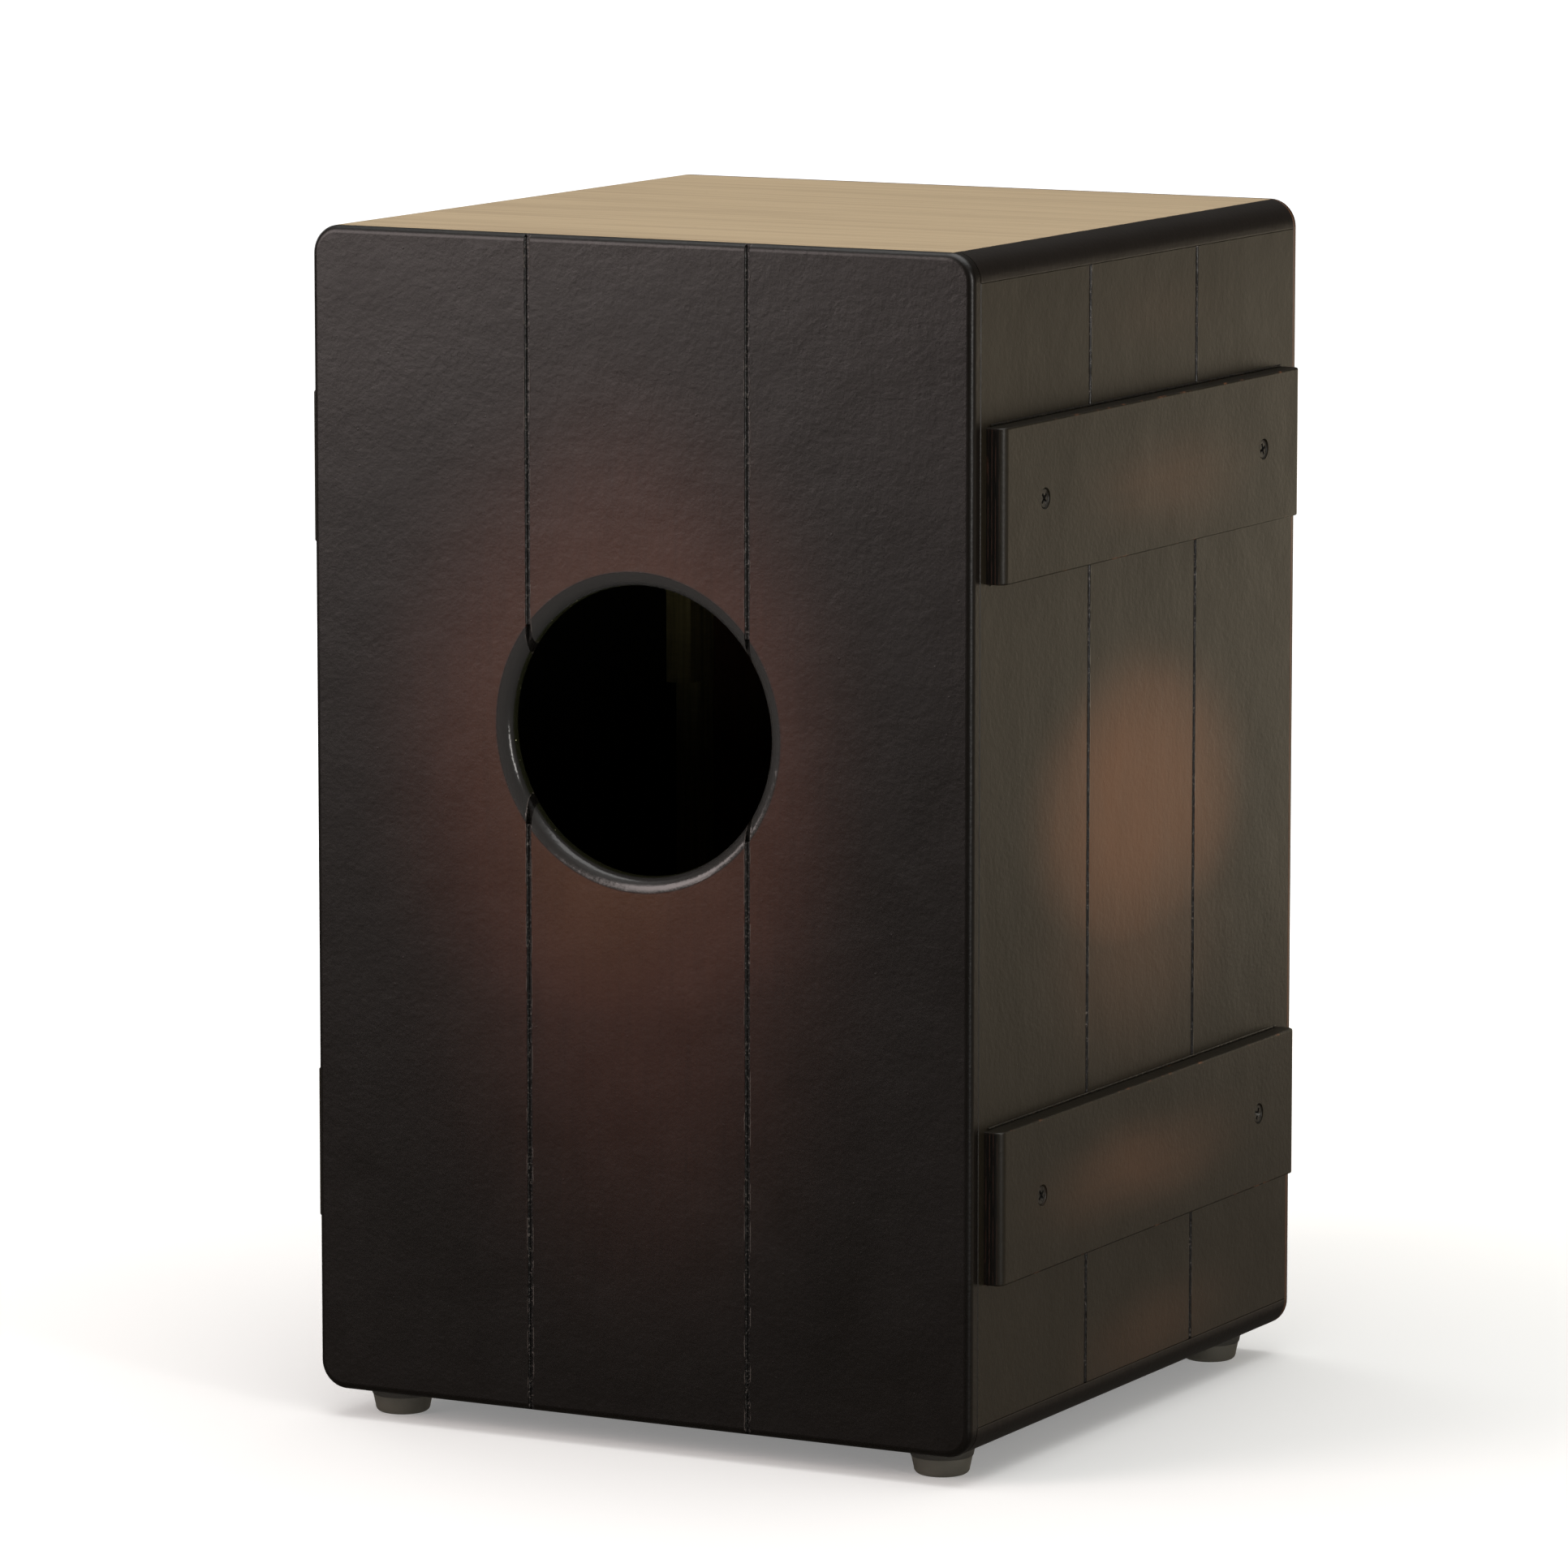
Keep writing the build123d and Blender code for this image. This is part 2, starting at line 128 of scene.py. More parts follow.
class Graph:
    """Adds nodes to one tree and links them, so that a finish reads like a formula."""

    def __init__(self, tree: bpy.types.NodeTree) -> None:
        """Keep the tree.

        Args:
            tree: Shader or geometry node tree that receives the nodes.
        """
        self.tree = tree

    def add(self, kind: str, **settings: Any) -> bpy.types.Node:
        """Add a node.

        Args:
            kind: Node type name.
            settings: Attributes to set on the node.

        Returns:
            The new node.
        """
        node = self.tree.nodes.new(kind)
        for name, value in settings.items():
            setattr(node, name, value)
        return node

    def feed(self, target: Socket, value: Any) -> None:
        """Link a socket to another one, or set it to a constant.

        Args:
            target: Input that receives the value.
            value: Socket to link, or a constant; None leaves the input alone.
        """
        if isinstance(value, bpy.types.NodeSocket):
            self.tree.links.new(value, target)
        elif value is not None:
            target.default_value = value

    def math(self, operation: str, a: Any, b: Any = None, c: Any = None) -> Socket:
        """Scalar arithmetic on up to three values.

        Args:
            operation: Name of the operation.
            a: First value.
            b: Second value.
            c: Third value.

        Returns:
            Result of the operation.
        """
        node = self.add("ShaderNodeMath", operation=operation)
        for target, value in zip(node.inputs, (a, b, c)):
            self.feed(target, value)
        return node.outputs[0]

    def vector_math(self, operation: str, a: Any, b: Any = None) -> bpy.types.Node:
        """Vector arithmetic on two values.

        Args:
            operation: Name of the operation.
            a: First value.
            b: Second value.

        Returns:
            The node, whose outputs hold the result.
        """
        node = self.add("ShaderNodeVectorMath", operation=operation)
        for target, value in zip(node.inputs, (a, b)):
            self.feed(target, value)
        return node

    def smooth(self, value: Any, start: float, end: float) -> Socket:
        """Smooth step of a value, from 0 at start to 1 at end.

        Args:
            value: Value to map.
            start: Where the result is 0.
            end: Where the result is 1.

        Returns:
            Share in 0..1.
        """
        node = self.add("ShaderNodeMapRange", interpolation_type="SMOOTHSTEP")
        rising = start <= end
        self.feed(node.inputs["Value"], value)
        node.inputs["From Min"].default_value = start if rising else end
        node.inputs["From Max"].default_value = end if rising else start
        node.inputs["To Min"].default_value = 0.0 if rising else 1.0
        node.inputs["To Max"].default_value = 1.0 if rising else 0.0
        return node.outputs["Result"]

    def spread(self, value: Any, low: float, high: float) -> Socket:
        """Map a value from 0..1 to low..high.

        Args:
            value: Value to map.
            low: Result at 0.
            high: Result at 1.

        Returns:
            Mapped value.
        """
        node = self.add("ShaderNodeMapRange")
        self.feed(node.inputs["Value"], value)
        node.inputs["To Min"].default_value = low
        node.inputs["To Max"].default_value = high
        return node.outputs["Result"]

    def mix(self, share: Any, first: Any, second: Any) -> Socket:
        """Blend two colours by a share.

        Args:
            share: Share of the second colour.
            first: Colour at a share of 0.
            second: Colour at a share of 1.

        Returns:
            Blended colour.
        """
        node = self.add("ShaderNodeMix", data_type="RGBA")
        self.feed(node.inputs["Factor"], share)
        self.feed(node.inputs["A"], rgba(first))
        self.feed(node.inputs["B"], rgba(second))
        return node.outputs["Result"]

    def scale_colour(self, colour: Any, amount: Any) -> Socket:
        """Multiply a colour by a scalar.

        Args:
            colour: Colour to scale.
            amount: Factor.

        Returns:
            Scaled colour.
        """
        node = self.add("ShaderNodeVectorMath", operation="SCALE")
        self.feed(node.inputs[0], colour)
        self.feed(node.inputs["Scale"], amount)
        return node.outputs[0]

    def position(self) -> Socket:
        """Object coordinates of the shaded point."""
        return self.add("ShaderNodeTexCoord").outputs["Object"]

    def split(self, vector: Socket) -> list[Socket]:
        """The three components of a vector.

        Args:
            vector: Vector to take apart.

        Returns:
            Sockets of X, Y and Z.
        """
        node = self.add("ShaderNodeSeparateXYZ")
        self.feed(node.inputs[0], vector)
        return list(node.outputs)

    def stretch(self, vector: Socket, scale: Triple, shift: Triple = (0.0, 0.0, 0.0)) -> Socket:
        """Scale and shift a vector before it reaches a pattern.

        Args:
            vector: Vector to change.
            scale: Factor on each axis.
            shift: Offset on each axis.

        Returns:
            Changed vector.
        """
        node = self.add("ShaderNodeMapping")
        self.feed(node.inputs["Vector"], vector)
        node.inputs["Location"].default_value = shift
        node.inputs["Scale"].default_value = scale
        return node.outputs[0]

    def noise(self, vector: Socket, scale: float, detail: float = 3.0, rough: float = 0.5,
              warp: float = 0.0) -> Socket:
        """Fractal noise in 0..1.

        Args:
            vector: Place at which the noise is read.
            scale: Cells per metre.
            detail: Number of octaves.
            rough: Weight of the finer octaves.
            warp: Distortion of the pattern.

        Returns:
            Socket with the noise value.
        """
        node = self.add("ShaderNodeTexNoise")
        self.feed(node.inputs["Vector"], vector)
        node.inputs["Scale"].default_value = scale
        node.inputs["Detail"].default_value = detail
        node.inputs["Roughness"].default_value = rough
        node.inputs["Distortion"].default_value = warp
        return node.outputs[0]

    def specks(self, vector: Socket, scale: float, size: float) -> Socket:
        """Mask of small round specks, one at most per cell.

        Args:
            vector: Place at which the specks are read.
            scale: Cells per metre.
            size: Reach of a speck within its cell.

        Returns:
            Mask, 1 in the middle of a speck.
        """
        node = self.add("ShaderNodeTexVoronoi")
        self.feed(node.inputs["Vector"], vector)
        node.inputs["Scale"].default_value = scale
        return self.smooth(node.outputs["Distance"], size, size * 0.45)

    def bump(self, height: Socket, distance: float, strength: float = 1.0,
             normal: Socket | None = None) -> Socket:
        """Bump the surface by a height.

        Args:
            height: Height in 0..1.
            distance: Height of a full step, in metres.
            strength: Share of the effect.
            normal: Normal to build on.

        Returns:
            Normal with the bump in it.
        """
        node = self.add("ShaderNodeBump")
        self.feed(node.inputs["Height"], height)
        node.inputs["Distance"].default_value = distance
        node.inputs["Strength"].default_value = strength
        self.feed(node.inputs["Normal"], normal)
        return node.outputs[0]


def coat(graph: Graph, shader: bpy.types.Node, colour: Any, rough: Any, normal: Any = None,
         gloss: Any = 0.5) -> None:
    """Feed the main inputs of a Principled shader.

    Args:
        graph: Graph of the material.
        shader: The Principled shader.
        colour: Base colour.
        rough: Roughness.
        normal: Surface normal, or None for the plain one.
        gloss: Strength of the mirror reflection.
    """
    for name, value in (("Base Color", rgba(colour)), ("Roughness", rough), ("Normal", normal),
                        ("Specular IOR Level", gloss)):
        graph.feed(shader.inputs[name], value)


def rgba(colour: Any) -> Any:
    """Add full alpha to a plain colour triple.

    Args:
        colour: Colour triple, or anything else, which is passed on.

    Returns:
        Colour with alpha.
    """
    if isinstance(colour, tuple) and len(colour) == 3:
        return (*colour, 1.0)
    return colour


def new_shader(name: str) -> tuple[bpy.types.Material, Graph, bpy.types.Node]:
    """Start a material.

    Args:
        name: Name of the material.

    Returns:
        The material, a graph on its tree and its Principled shader.
    """
    material = bpy.data.materials.new(name)
    material.use_nodes = True
    graph = Graph(material.node_tree)
    shader = next(n for n in material.node_tree.nodes if n.type == "BSDF_PRINCIPLED")
    return material, graph, shader


# --------------------------------------------------------------------------- finishes


@dataclass(frozen=True)
class Burst:
    """Soft oval of lighter stain that shows the wood through the dark lacquer."""

    centre: Triple
    radii: Triple
    strength: float = 1.0
    core: float = 0.3

    def mask(self, graph: Graph, place: Socket) -> Socket:
        """Share of the stain at a place, from 0 outside to the strength at the core.

        Args:
            graph: Graph of the material.
            place: Place on the piece.

        Returns:
            Mask in 0..1.
        """
        offset = graph.vector_math("SUBTRACT", place, self.centre).outputs[0]
        inverse = tuple(1.0 / r for r in self.radii)
        oval = graph.vector_math("MULTIPLY", offset, inverse).outputs[0]
        length = graph.vector_math("LENGTH", oval).outputs["Value"]
        return graph.math("MULTIPLY", graph.smooth(length, 1.0, self.core), self.strength)


@dataclass(frozen=True)
class SeatZone:
    """Bare wood field on top of the drum, inside a lacquered border."""

    top: float
    half_width: float
    half_depth: float
    skin: float = 0.5 * MM
    edge: float = 0.35 * MM

    def mask(self, graph: Graph, place: Socket) -> Socket:
        """1 on the bare field, 0 on lacquer, with a slightly uneven paint line.

        Args:
            graph: Graph of the material.
            place: Place on the piece.

        Returns:
            Mask in 0..1.
        """
        x, y, z = graph.split(place)
        drift = graph.spread(graph.noise(place, 160.0, 3.0), -0.5 * MM, 0.5 * MM)
        wide = graph.math("ADD", graph.math("ABSOLUTE", x), drift)
        deep = graph.math("ADD", graph.math("ABSOLUTE", y), drift)
        inside_x = graph.smooth(wide, self.half_width + self.edge, self.half_width - self.edge)
        inside_y = graph.smooth(deep, self.half_depth + self.edge, self.half_depth - self.edge)
        up = graph.smooth(z, self.top - self.skin, self.top - 0.5 * self.skin)
        return graph.math("MULTIPLY", up, graph.math("MULTIPLY", inside_x, inside_y))


@dataclass(frozen=True)
class WoodGrain:
    """Straight grain: long streaks, fine pores and slow changes of tone."""

    along: Axis
    light: Triple
    dark: Triple
    streaks: float = 260.0
    contrast: float = 0.5

    def stretched(self, graph: Graph, place: Socket, ratio: float) -> Socket:
        """Coordinates in which the grain direction is squeezed by a ratio.

        Args:
            graph: Graph of the material.
            place: Place on the piece.
            ratio: Squeeze along the grain.

        Returns:
            Squeezed vector.
        """
        scale = [1.0, 1.0, 1.0]
        scale[self.along.value] = ratio
        return graph.stretch(place, tuple(scale))

    def colour(self, graph: Graph, place: Socket) -> Socket:
        """Colour of the bare wood at a place.

        Args:
            graph: Graph of the material.
            place: Place on the piece.

        Returns:
            Colour of the wood.
        """
        fibre = graph.noise(self.stretched(graph, place, 0.035), self.streaks, 5.0, 0.6, 0.2)
        cloud = graph.noise(self.stretched(graph, place, 0.25), 14.0, 3.0, 0.5, 0.4)
        both = graph.math("ADD", graph.math("MULTIPLY", fibre, 0.7), graph.math("MULTIPLY", cloud, 0.3))
        share = graph.smooth(both, 0.5 + 0.22 * self.contrast, 0.5 - 0.32 * self.contrast)
        return graph.mix(share, self.light, self.dark)

    def relief(self, graph: Graph, place: Socket) -> Socket:
        """Height of the pores."""
        return graph.noise(self.stretched(graph, place, 0.03), 1300.0, 3.0, 0.6)


@dataclass(frozen=True)
class Lacquer:
    """Dark satin lacquer with brown bursts, worn arrises and an optional bare seat."""

    name: str
    shade: Triple
    glow: Triple
    bursts: tuple[Burst, ...] = ()
    roughness: float = 0.36
    gloss: float = 0.35
    grain: Axis = Axis.Z
    seat: SeatZone | None = None
    seat_wood: WoodGrain | None = None
    inner_limit: tuple[Axis, float, float] | None = None
    bare_rim: tuple[Triple, float] | None = None
    ply: tuple[Axis, Axis, float] | None = None
    grooves: tuple[Axis, tuple[float, ...], float] | None = None
    arris: tuple[Triple, Triple] | None = None
    fringe: Triple = (0.030, 0.0082, 0.0038)
    tint: Triple = (1.0, 1.0, 1.0)
    # Grey of the hole's rim: black lacquer without burst, lightened partly as painted sheen.
    rim_grey_with_sheen: Triple = (0.022, 0.021, 0.020)
    rim_width: float = 5.9 * MM
    lint_colour: Triple = (0.30, 0.29, 0.17)
    grit_colour: Triple = (0.09, 0.085, 0.055)
    # Pale colour of the dashes on the groove lips: a painted highlight.
    painted_lip_highlight: Triple = (0.075, 0.062, 0.054)
    groove_shadow: Triple = (0.004, 0.0035, 0.003)
    worn_copper: Triple = (0.17, 0.065, 0.028)
    ply_dark: Triple = (0.0035, 0.003, 0.0025)
    ply_brown: Triple = (0.034, 0.014, 0.009)
    ply_pitch: float = 1.6 * MM
    bare_roughness: float = 0.62
    bare_gloss: float = 0.2

    def burst_share(self, graph: Graph, place: Socket) -> Socket | float:
        """Combined share of every burst, a little ragged like sprayed stain.

        Args:
            graph: Graph of the material.
            place: Place on the board.

        Returns:
            Share in 0..1, or 0.0 where there is no burst.
        """
        if not self.bursts:
            return 0.0
        drift = graph.noise(place, 9.0, 2.0)
        push = graph.vector_math("SCALE", graph.vector_math("SUBTRACT", drift, (0.5, 0.5, 0.5)).outputs[0])
        push.inputs["Scale"].default_value = 18 * MM
        moved = graph.vector_math("ADD", place, push.outputs[0]).outputs[0]
        total: Socket | None = None
        for burst in self.bursts:
            share = burst.mask(graph, moved)
            total = share if total is None else graph.math("MAXIMUM", total, share)
        mist = graph.noise(place, 1500.0, 2.0)
        return graph.math("MULTIPLY", total, graph.spread(mist, 0.86, 1.1))

    def build(self) -> bpy.types.Material:
        """Make the material.

        Returns:
            The material.
        """
        material, graph, shader = new_shader(self.name)
        place = graph.position()
        fibre_place = graph.stretch(place, tuple(0.05 if a is self.grain else 1.0 for a in Axis))
        fibre = graph.noise(fibre_place, 420.0, 4.0, 0.6)
        mottle = graph.noise(place, 24.0, 3.0, 0.55, 0.6)
        share = self.burst_share(graph, place)
        rough = graph.spread(mottle, self.roughness - 0.05, self.roughness + 0.06)
        if self.bare_rim is None:
            colour = self.sprayed(graph, share, fibre, mottle)
        else:
            colour, rough = self.rimmed(graph, place, share, fibre, mottle, rough)
        if self.arris is not None:
            colour = self.worn(graph, place, colour)
        if self.ply is not None:
            colour = self.layered(graph, place, colour)
        if self.inner_limit is not None:
            colour, rough = self.darkened_inside(graph, place, colour, rough)
        normal = self.orange_peel(graph, place, fibre)
        if self.grooves is not None:
            lip, pit = self.groove_masks(graph, place)
            # The pale dashes on the groove lips are a painted highlight.
            colour = graph.mix(graph.math("MULTIPLY", lip, 0.7), colour, self.painted_lip_highlight)
            colour = graph.mix(pit, colour, self.groove_shadow)
            normal = graph.bump(lip, 0.12 * MM, 0.6, normal)
        if self.seat is not None and self.seat_wood is not None:
            bare = self.seat.mask(graph, place)
            colour = graph.mix(bare, colour, bare_seat_colour(graph, place, self.seat_wood))
            rough = graph.math("ADD", graph.math("MULTIPLY", rough, graph.math("SUBTRACT", 1.0, bare)),
                               graph.math("MULTIPLY", bare, self.bare_roughness))
            gloss = graph.spread(bare, self.gloss, self.bare_gloss)
            pores = graph.math("MULTIPLY", self.seat_wood.relief(graph, place), bare)
            normal = graph.bump(pores, 0.05 * MM, 0.6, normal)
        else:
            gloss = self.gloss
        coat(graph, shader, colour, rough, normal, gloss)
        shader.inputs["Specular Tint"].default_value = rgba(self.tint)
        return material

    def sprayed(self, graph: Graph, share: Socket | float, fibre: Socket, mottle: Socket) -> Socket:
        """Blend the dark lacquer through its warm fringe into the brown of a burst.

        Args:
            graph: Graph of the material.
            share: Share of the burst, 0 on plain lacquer.
            fibre: Fine noise along the grain.
            mottle: Slow noise of the spray.

        Returns:
            Colour of the lacquer.
        """
        tone = graph.math("MULTIPLY", graph.spread(fibre, 0.72, 1.28), graph.spread(mottle, 0.8, 1.2))
        glow = graph.scale_colour(graph.mix(fibre, self.glow, tuple(0.72 * c for c in self.glow)), tone)
        shade = graph.scale_colour(graph.mix(mottle, self.shade, tuple(0.8 * c for c in self.shade)), tone)
        fringe = graph.scale_colour(self.fringe, tone)
        colour = graph.mix(graph.smooth(share, 0.0, 0.5), shade, fringe)
        return graph.mix(graph.smooth(share, 0.25, 1.0), colour, glow)

    def rimmed(self, graph: Graph, place: Socket, share: Socket | float, fibre: Socket, mottle: Socket,
               rough: Socket) -> tuple[Socket, Socket]:
        """Keep the round rim of the hole plain and glossy, with a grey base that is partly painted sheen,
        and its bore dull and dusty.

        Args:
            graph: Graph of the material.
            place: Place on the board.
            share: Share of the burst.
            fibre: Fine noise along the grain.
            mottle: Slow noise of the spray.
            rough: Roughness of the face.

        Returns:
            Colour and roughness with the rim in them.
        """
        centre, radius = self.bare_rim
        x, _, z = graph.split(graph.vector_math("SUBTRACT", place, centre).outputs[0])
        ring = graph.math("SQRT", graph.math("ADD", graph.math("MULTIPLY", x, x),
                                             graph.math("MULTIPLY", z, z)))
        face = graph.smooth(ring, radius - 0.6 * MM, radius + 0.8 * MM)
        colour = self.sprayed(graph, graph.math("MULTIPLY", share, face), fibre, mottle)
        # The rim's grey base is black lacquer, lightened partly as painted sheen.
        colour = graph.mix(face, self.rim_grey_with_sheen, colour)
        bore = graph.smooth(ring, radius - self.rim_width + 0.5 * MM, radius - self.rim_width)
        lint = graph.specks(graph.stretch(place, (1.0, 0.8, 1.0)), 480.0, 0.16)
        few = graph.smooth(graph.noise(place, 60.0, 2.0), 0.44, 0.62)
        dusty = graph.math("MULTIPLY", graph.math("MULTIPLY", lint, few), bore)
        colour = graph.mix(bore, colour, INTERIOR_NEAR_BLACK)
        colour = graph.mix(dusty, colour, self.lint_colour)
        return colour, graph.math("MULTIPLY", rough, graph.spread(face, 0.5, 1.0))

    def darkened_inside(self, graph: Graph, place: Socket, colour: Socket,
                       rough: Socket) -> tuple[Socket, Socket]:
        """Give the inner face of a board a near-black colour with grit specks.

        Args:
            graph: Graph of the material.
            place: Place on the board.
            colour: Colour of the outer finish.
            rough: Roughness of the outer finish.

        Returns:
            Colour and roughness with the inside in them.
        """
        axis, low, high = self.inner_limit
        part = graph.split(place)[axis.value]
        inner = graph.math("MULTIPLY", graph.smooth(part, low, low + 0.2 * MM),
                           graph.smooth(part, high, high - 0.2 * MM))
        grit = graph.specks(graph.stretch(place, (1.0, 1.0, 0.6)), 210.0, 0.1)
        stain = graph.mix(graph.math("MULTIPLY", grit, 0.8), INTERIOR_NEAR_BLACK, self.grit_colour)
        return (graph.mix(inner, colour, stain),
                graph.math("ADD", rough, graph.math("MULTIPLY", inner, 0.35)))

    def orange_peel(self, graph: Graph, place: Socket, fibre: Socket) -> Socket:
        """Waves, orange peel, dust and a trace of the grain in the lacquer.

        Args:
            graph: Graph of the material.
            place: Place on the board.
            fibre: Fine noise along the grain.

        Returns:
            Normal of the surface.
        """
        peel = graph.noise(place, 430.0, 2.0, 0.55)
        waves = graph.noise(place, 42.0, 2.0)
        dust = graph.specks(place, 95.0, 0.055)
        normal = graph.bump(waves, 0.4 * MM, 0.6)
        normal = graph.bump(peel, 0.11 * MM, 0.8, normal)
        normal = graph.bump(dust, 0.06 * MM, 0.5, normal)
        return graph.bump(fibre, 0.03 * MM, 0.5, normal)

    def groove_masks(self, graph: Graph, place: Socket) -> tuple[Socket, Socket]:
        """Painted highlight dashes on the lips beside each groove, and its black inside.

        Args:
            graph: Graph of the material.
            place: Place on the board.

        Returns:
            Mask of the painted lip highlights and mask of the groove itself.
        """
        axis, lines, half = self.grooves
        part = graph.split(place)[axis.value]
        away = [graph.math("ABSOLUTE", graph.math("SUBTRACT", part, line)) for line in lines]
        nearest = away[0]
        for other in away[1:]:
            nearest = graph.math("MINIMUM", nearest, other)
        ripple = graph.noise(graph.stretch(place, (1.0, 1.0, 0.5)), 620.0, 3.0, 0.6)
        uneven = graph.math("ADD", nearest, graph.spread(ripple, -0.35 * MM, 0.35 * MM))
        band = graph.math("MULTIPLY", graph.smooth(uneven, half, half + 0.12 * MM),
                          graph.smooth(uneven, half + 0.5 * MM, half + 0.2 * MM))
        dashes = graph.smooth(graph.noise(graph.stretch(place, (1.0, 1.0, 0.35)), 330.0, 2.0), 0.5, 0.6)
        pit = graph.smooth(uneven, half + 0.1 * MM, half - 0.05 * MM)
        return graph.math("MULTIPLY", band, dashes), pit

    def worn(self, graph: Graph, place: Socket, colour: Socket) -> Socket:
        """Thin the lacquer on the arrises, down to copper-brown in a few spots.

        Args:
            graph: Graph of the material.
            place: Place on the board.
            colour: Lacquer colour without wear.

        Returns:
            Colour with rubbed edges.
        """
        low, high = (Vector(corner) for corner in self.arris)
        middle, half = (low + high) / 2, (high - low) / 2
        parts = graph.split(graph.vector_math("ABSOLUTE", graph.vector_math(
            "SUBTRACT", place, tuple(middle)).outputs[0]).outputs[0])
        near = [graph.smooth(part, reach - 1.1 * MM, reach - 0.2 * MM) for part, reach in zip(parts, half)]
        pairs = graph.math("MAXIMUM", graph.math("MULTIPLY", near[0], near[1]), graph.math(
            "MAXIMUM", graph.math("MULTIPLY", near[1], near[2]), graph.math("MULTIPLY", near[0], near[2])))
        rub = graph.smooth(graph.noise(place, 85.0, 4.0, 0.65), 0.56, 0.70)
        thin = graph.math("MULTIPLY", pairs, graph.math("MULTIPLY", rub, 0.75))
        return graph.mix(thin, colour, self.worn_copper)

    def layered(self, graph: Graph, place: Socket, colour: Socket) -> Socket:
        """Show the veneers of plywood on the ends of a board.

        Args:
            graph: Graph of the material.
            place: Place on the board.
            colour: Lacquer colour without layers.

        Returns:
            Colour with the thin dark and brown lines on the end grain.
        """
        through, along, start = self.ply
        parts = graph.split(place)
        across = graph.math("ABSOLUTE", parts[through.value])
        depth = graph.math("MULTIPLY", across, 2 * math.pi / self.ply_pitch)
        lines = graph.spread(graph.math("SINE", depth), 0.0, 1.0)
        ragged = graph.noise(graph.stretch(place, (1.0, 1.0, 0.15)), 700.0, 3.0)
        lines = graph.math("MULTIPLY", graph.smooth(lines, 0.35, 0.95), graph.smooth(ragged, 0.35, 0.6))
        ends = graph.smooth(graph.math("ABSOLUTE", parts[along.value]), start, start + 0.4 * MM)
        shown = graph.mix(lines, self.ply_dark, self.ply_brown)
        return graph.mix(graph.math("MULTIPLY", ends, 0.9), colour, shown)


def bare_seat_colour(graph: Graph, place: Socket, wood: WoodGrain) -> Socket:
    """Pale seat wood with tiny dark specks and a few short dark fibres.

    Args:
        graph: Graph of the material.
        place: Place on the board.
        wood: Grain of the seat.

    Returns:
        Colour of the seat.
    """
    base = wood.colour(graph, place)
    speck = graph.specks(graph.stretch(place, (0.4, 1.0, 0.02)), 140.0, 0.07)
    gate = graph.smooth(graph.noise(place, 30.0, 2.0), 0.5, 0.62)
    marks = graph.math("MULTIPLY", graph.math("MULTIPLY", speck, gate), 0.55)
    return graph.mix(marks, base, (0.17, 0.11, 0.06))


@dataclass(frozen=True)
class Veneer:
    """Figured face veneer with a dark sprayed border and fine vertical pores."""

    name: str
    heart: Triple
    streak: Triple
    border: Triple
    half_width: float
    low: float
    high: float
    fade: float
    seat: SeatZone
    seat_wood: WoodGrain

    def build(self) -> bpy.types.Material:
        """Make the material.

        Returns:
            The material.
        """
        material, graph, shader = new_shader(self.name)
        place = graph.position()
        x, y, z = graph.split(place)
        bend = graph.noise(graph.stretch(place, (1.0, 1.0, 0.3)), 7.0, 2.0, 0.5)
        warped = graph.math("ADD", x, graph.math("MULTIPLY", bend, 70 * MM))
        wave = graph.math("SINE", graph.math("MULTIPLY", warped, 2 * math.pi / (17 * MM)))
        rings = graph.smooth(wave, -0.7, 1.0)
        fibre = graph.noise(graph.stretch(place, (1.0, 1.0, 0.02)), 620.0, 4.0, 0.65)
        pores = graph.noise(graph.stretch(place, (1.0, 1.0, 0.045)), 1500.0, 2.0, 0.5)
        dash = graph.smooth(pores, 0.6, 0.68)
        share = graph.math("ADD", graph.math("MULTIPLY", rings, 0.45), graph.math("MULTIPLY", fibre, 0.6))
        wood = graph.mix(share, self.heart, self.streak)
        wood = graph.mix(graph.math("MULTIPLY", dash, 0.5), wood, tuple(0.35 * c for c in self.streak))
        flame = graph.noise(graph.stretch(place, (0.5, 1.0, 2.2)), 22.0, 2.0, 0.5, 0.8)
        wood = graph.scale_colour(wood, graph.spread(flame, 0.82, 1.18))
        mid_z = (self.low + self.high) / 2
        half_z = (self.high - self.low) / 2
        side = graph.math("DIVIDE", graph.math("ABSOLUTE", x), self.half_width)
        tall = graph.math("DIVIDE", graph.math("ABSOLUTE", graph.math("SUBTRACT", z, mid_z)), half_z)
        span = graph.math("POWER", graph.math("ADD", graph.math("POWER", side, 3.0),
                                              graph.math("POWER", tall, 3.0)), 1 / 3)
        haze = graph.spread(graph.noise(place, 9.0, 2.0), -0.05, 0.05)
        rim = graph.smooth(graph.math("ADD", span, haze), self.fade, 1.02)
        colour = graph.mix(rim, wood, self.border)
        bare = self.seat.mask(graph, place)
        colour = graph.mix(bare, colour, bare_seat_colour(graph, place, self.seat_wood))
        edge = graph.smooth(y, -self.seat.half_depth - 1.6 * MM, -self.seat.half_depth - 0.9 * MM)
        inside = graph.math("MULTIPLY", edge, graph.math("SUBTRACT", 1.0, bare))
        colour = graph.mix(inside, colour, graph.mix(fibre, (0.11, 0.045, 0.018), (0.05, 0.02, 0.009)))
        peel = graph.noise(place, 480.0, 2.0)
        normal = graph.bump(graph.noise(place, 36.0, 2.0), 0.3 * MM, 0.4)
        normal = graph.bump(pores, 0.05 * MM, 0.5, normal)
        normal = graph.bump(peel, 0.03 * MM, 0.4, normal)
        coat(graph, shader, colour, graph.spread(fibre, 0.3, 0.42), normal, 0.4)
        return material


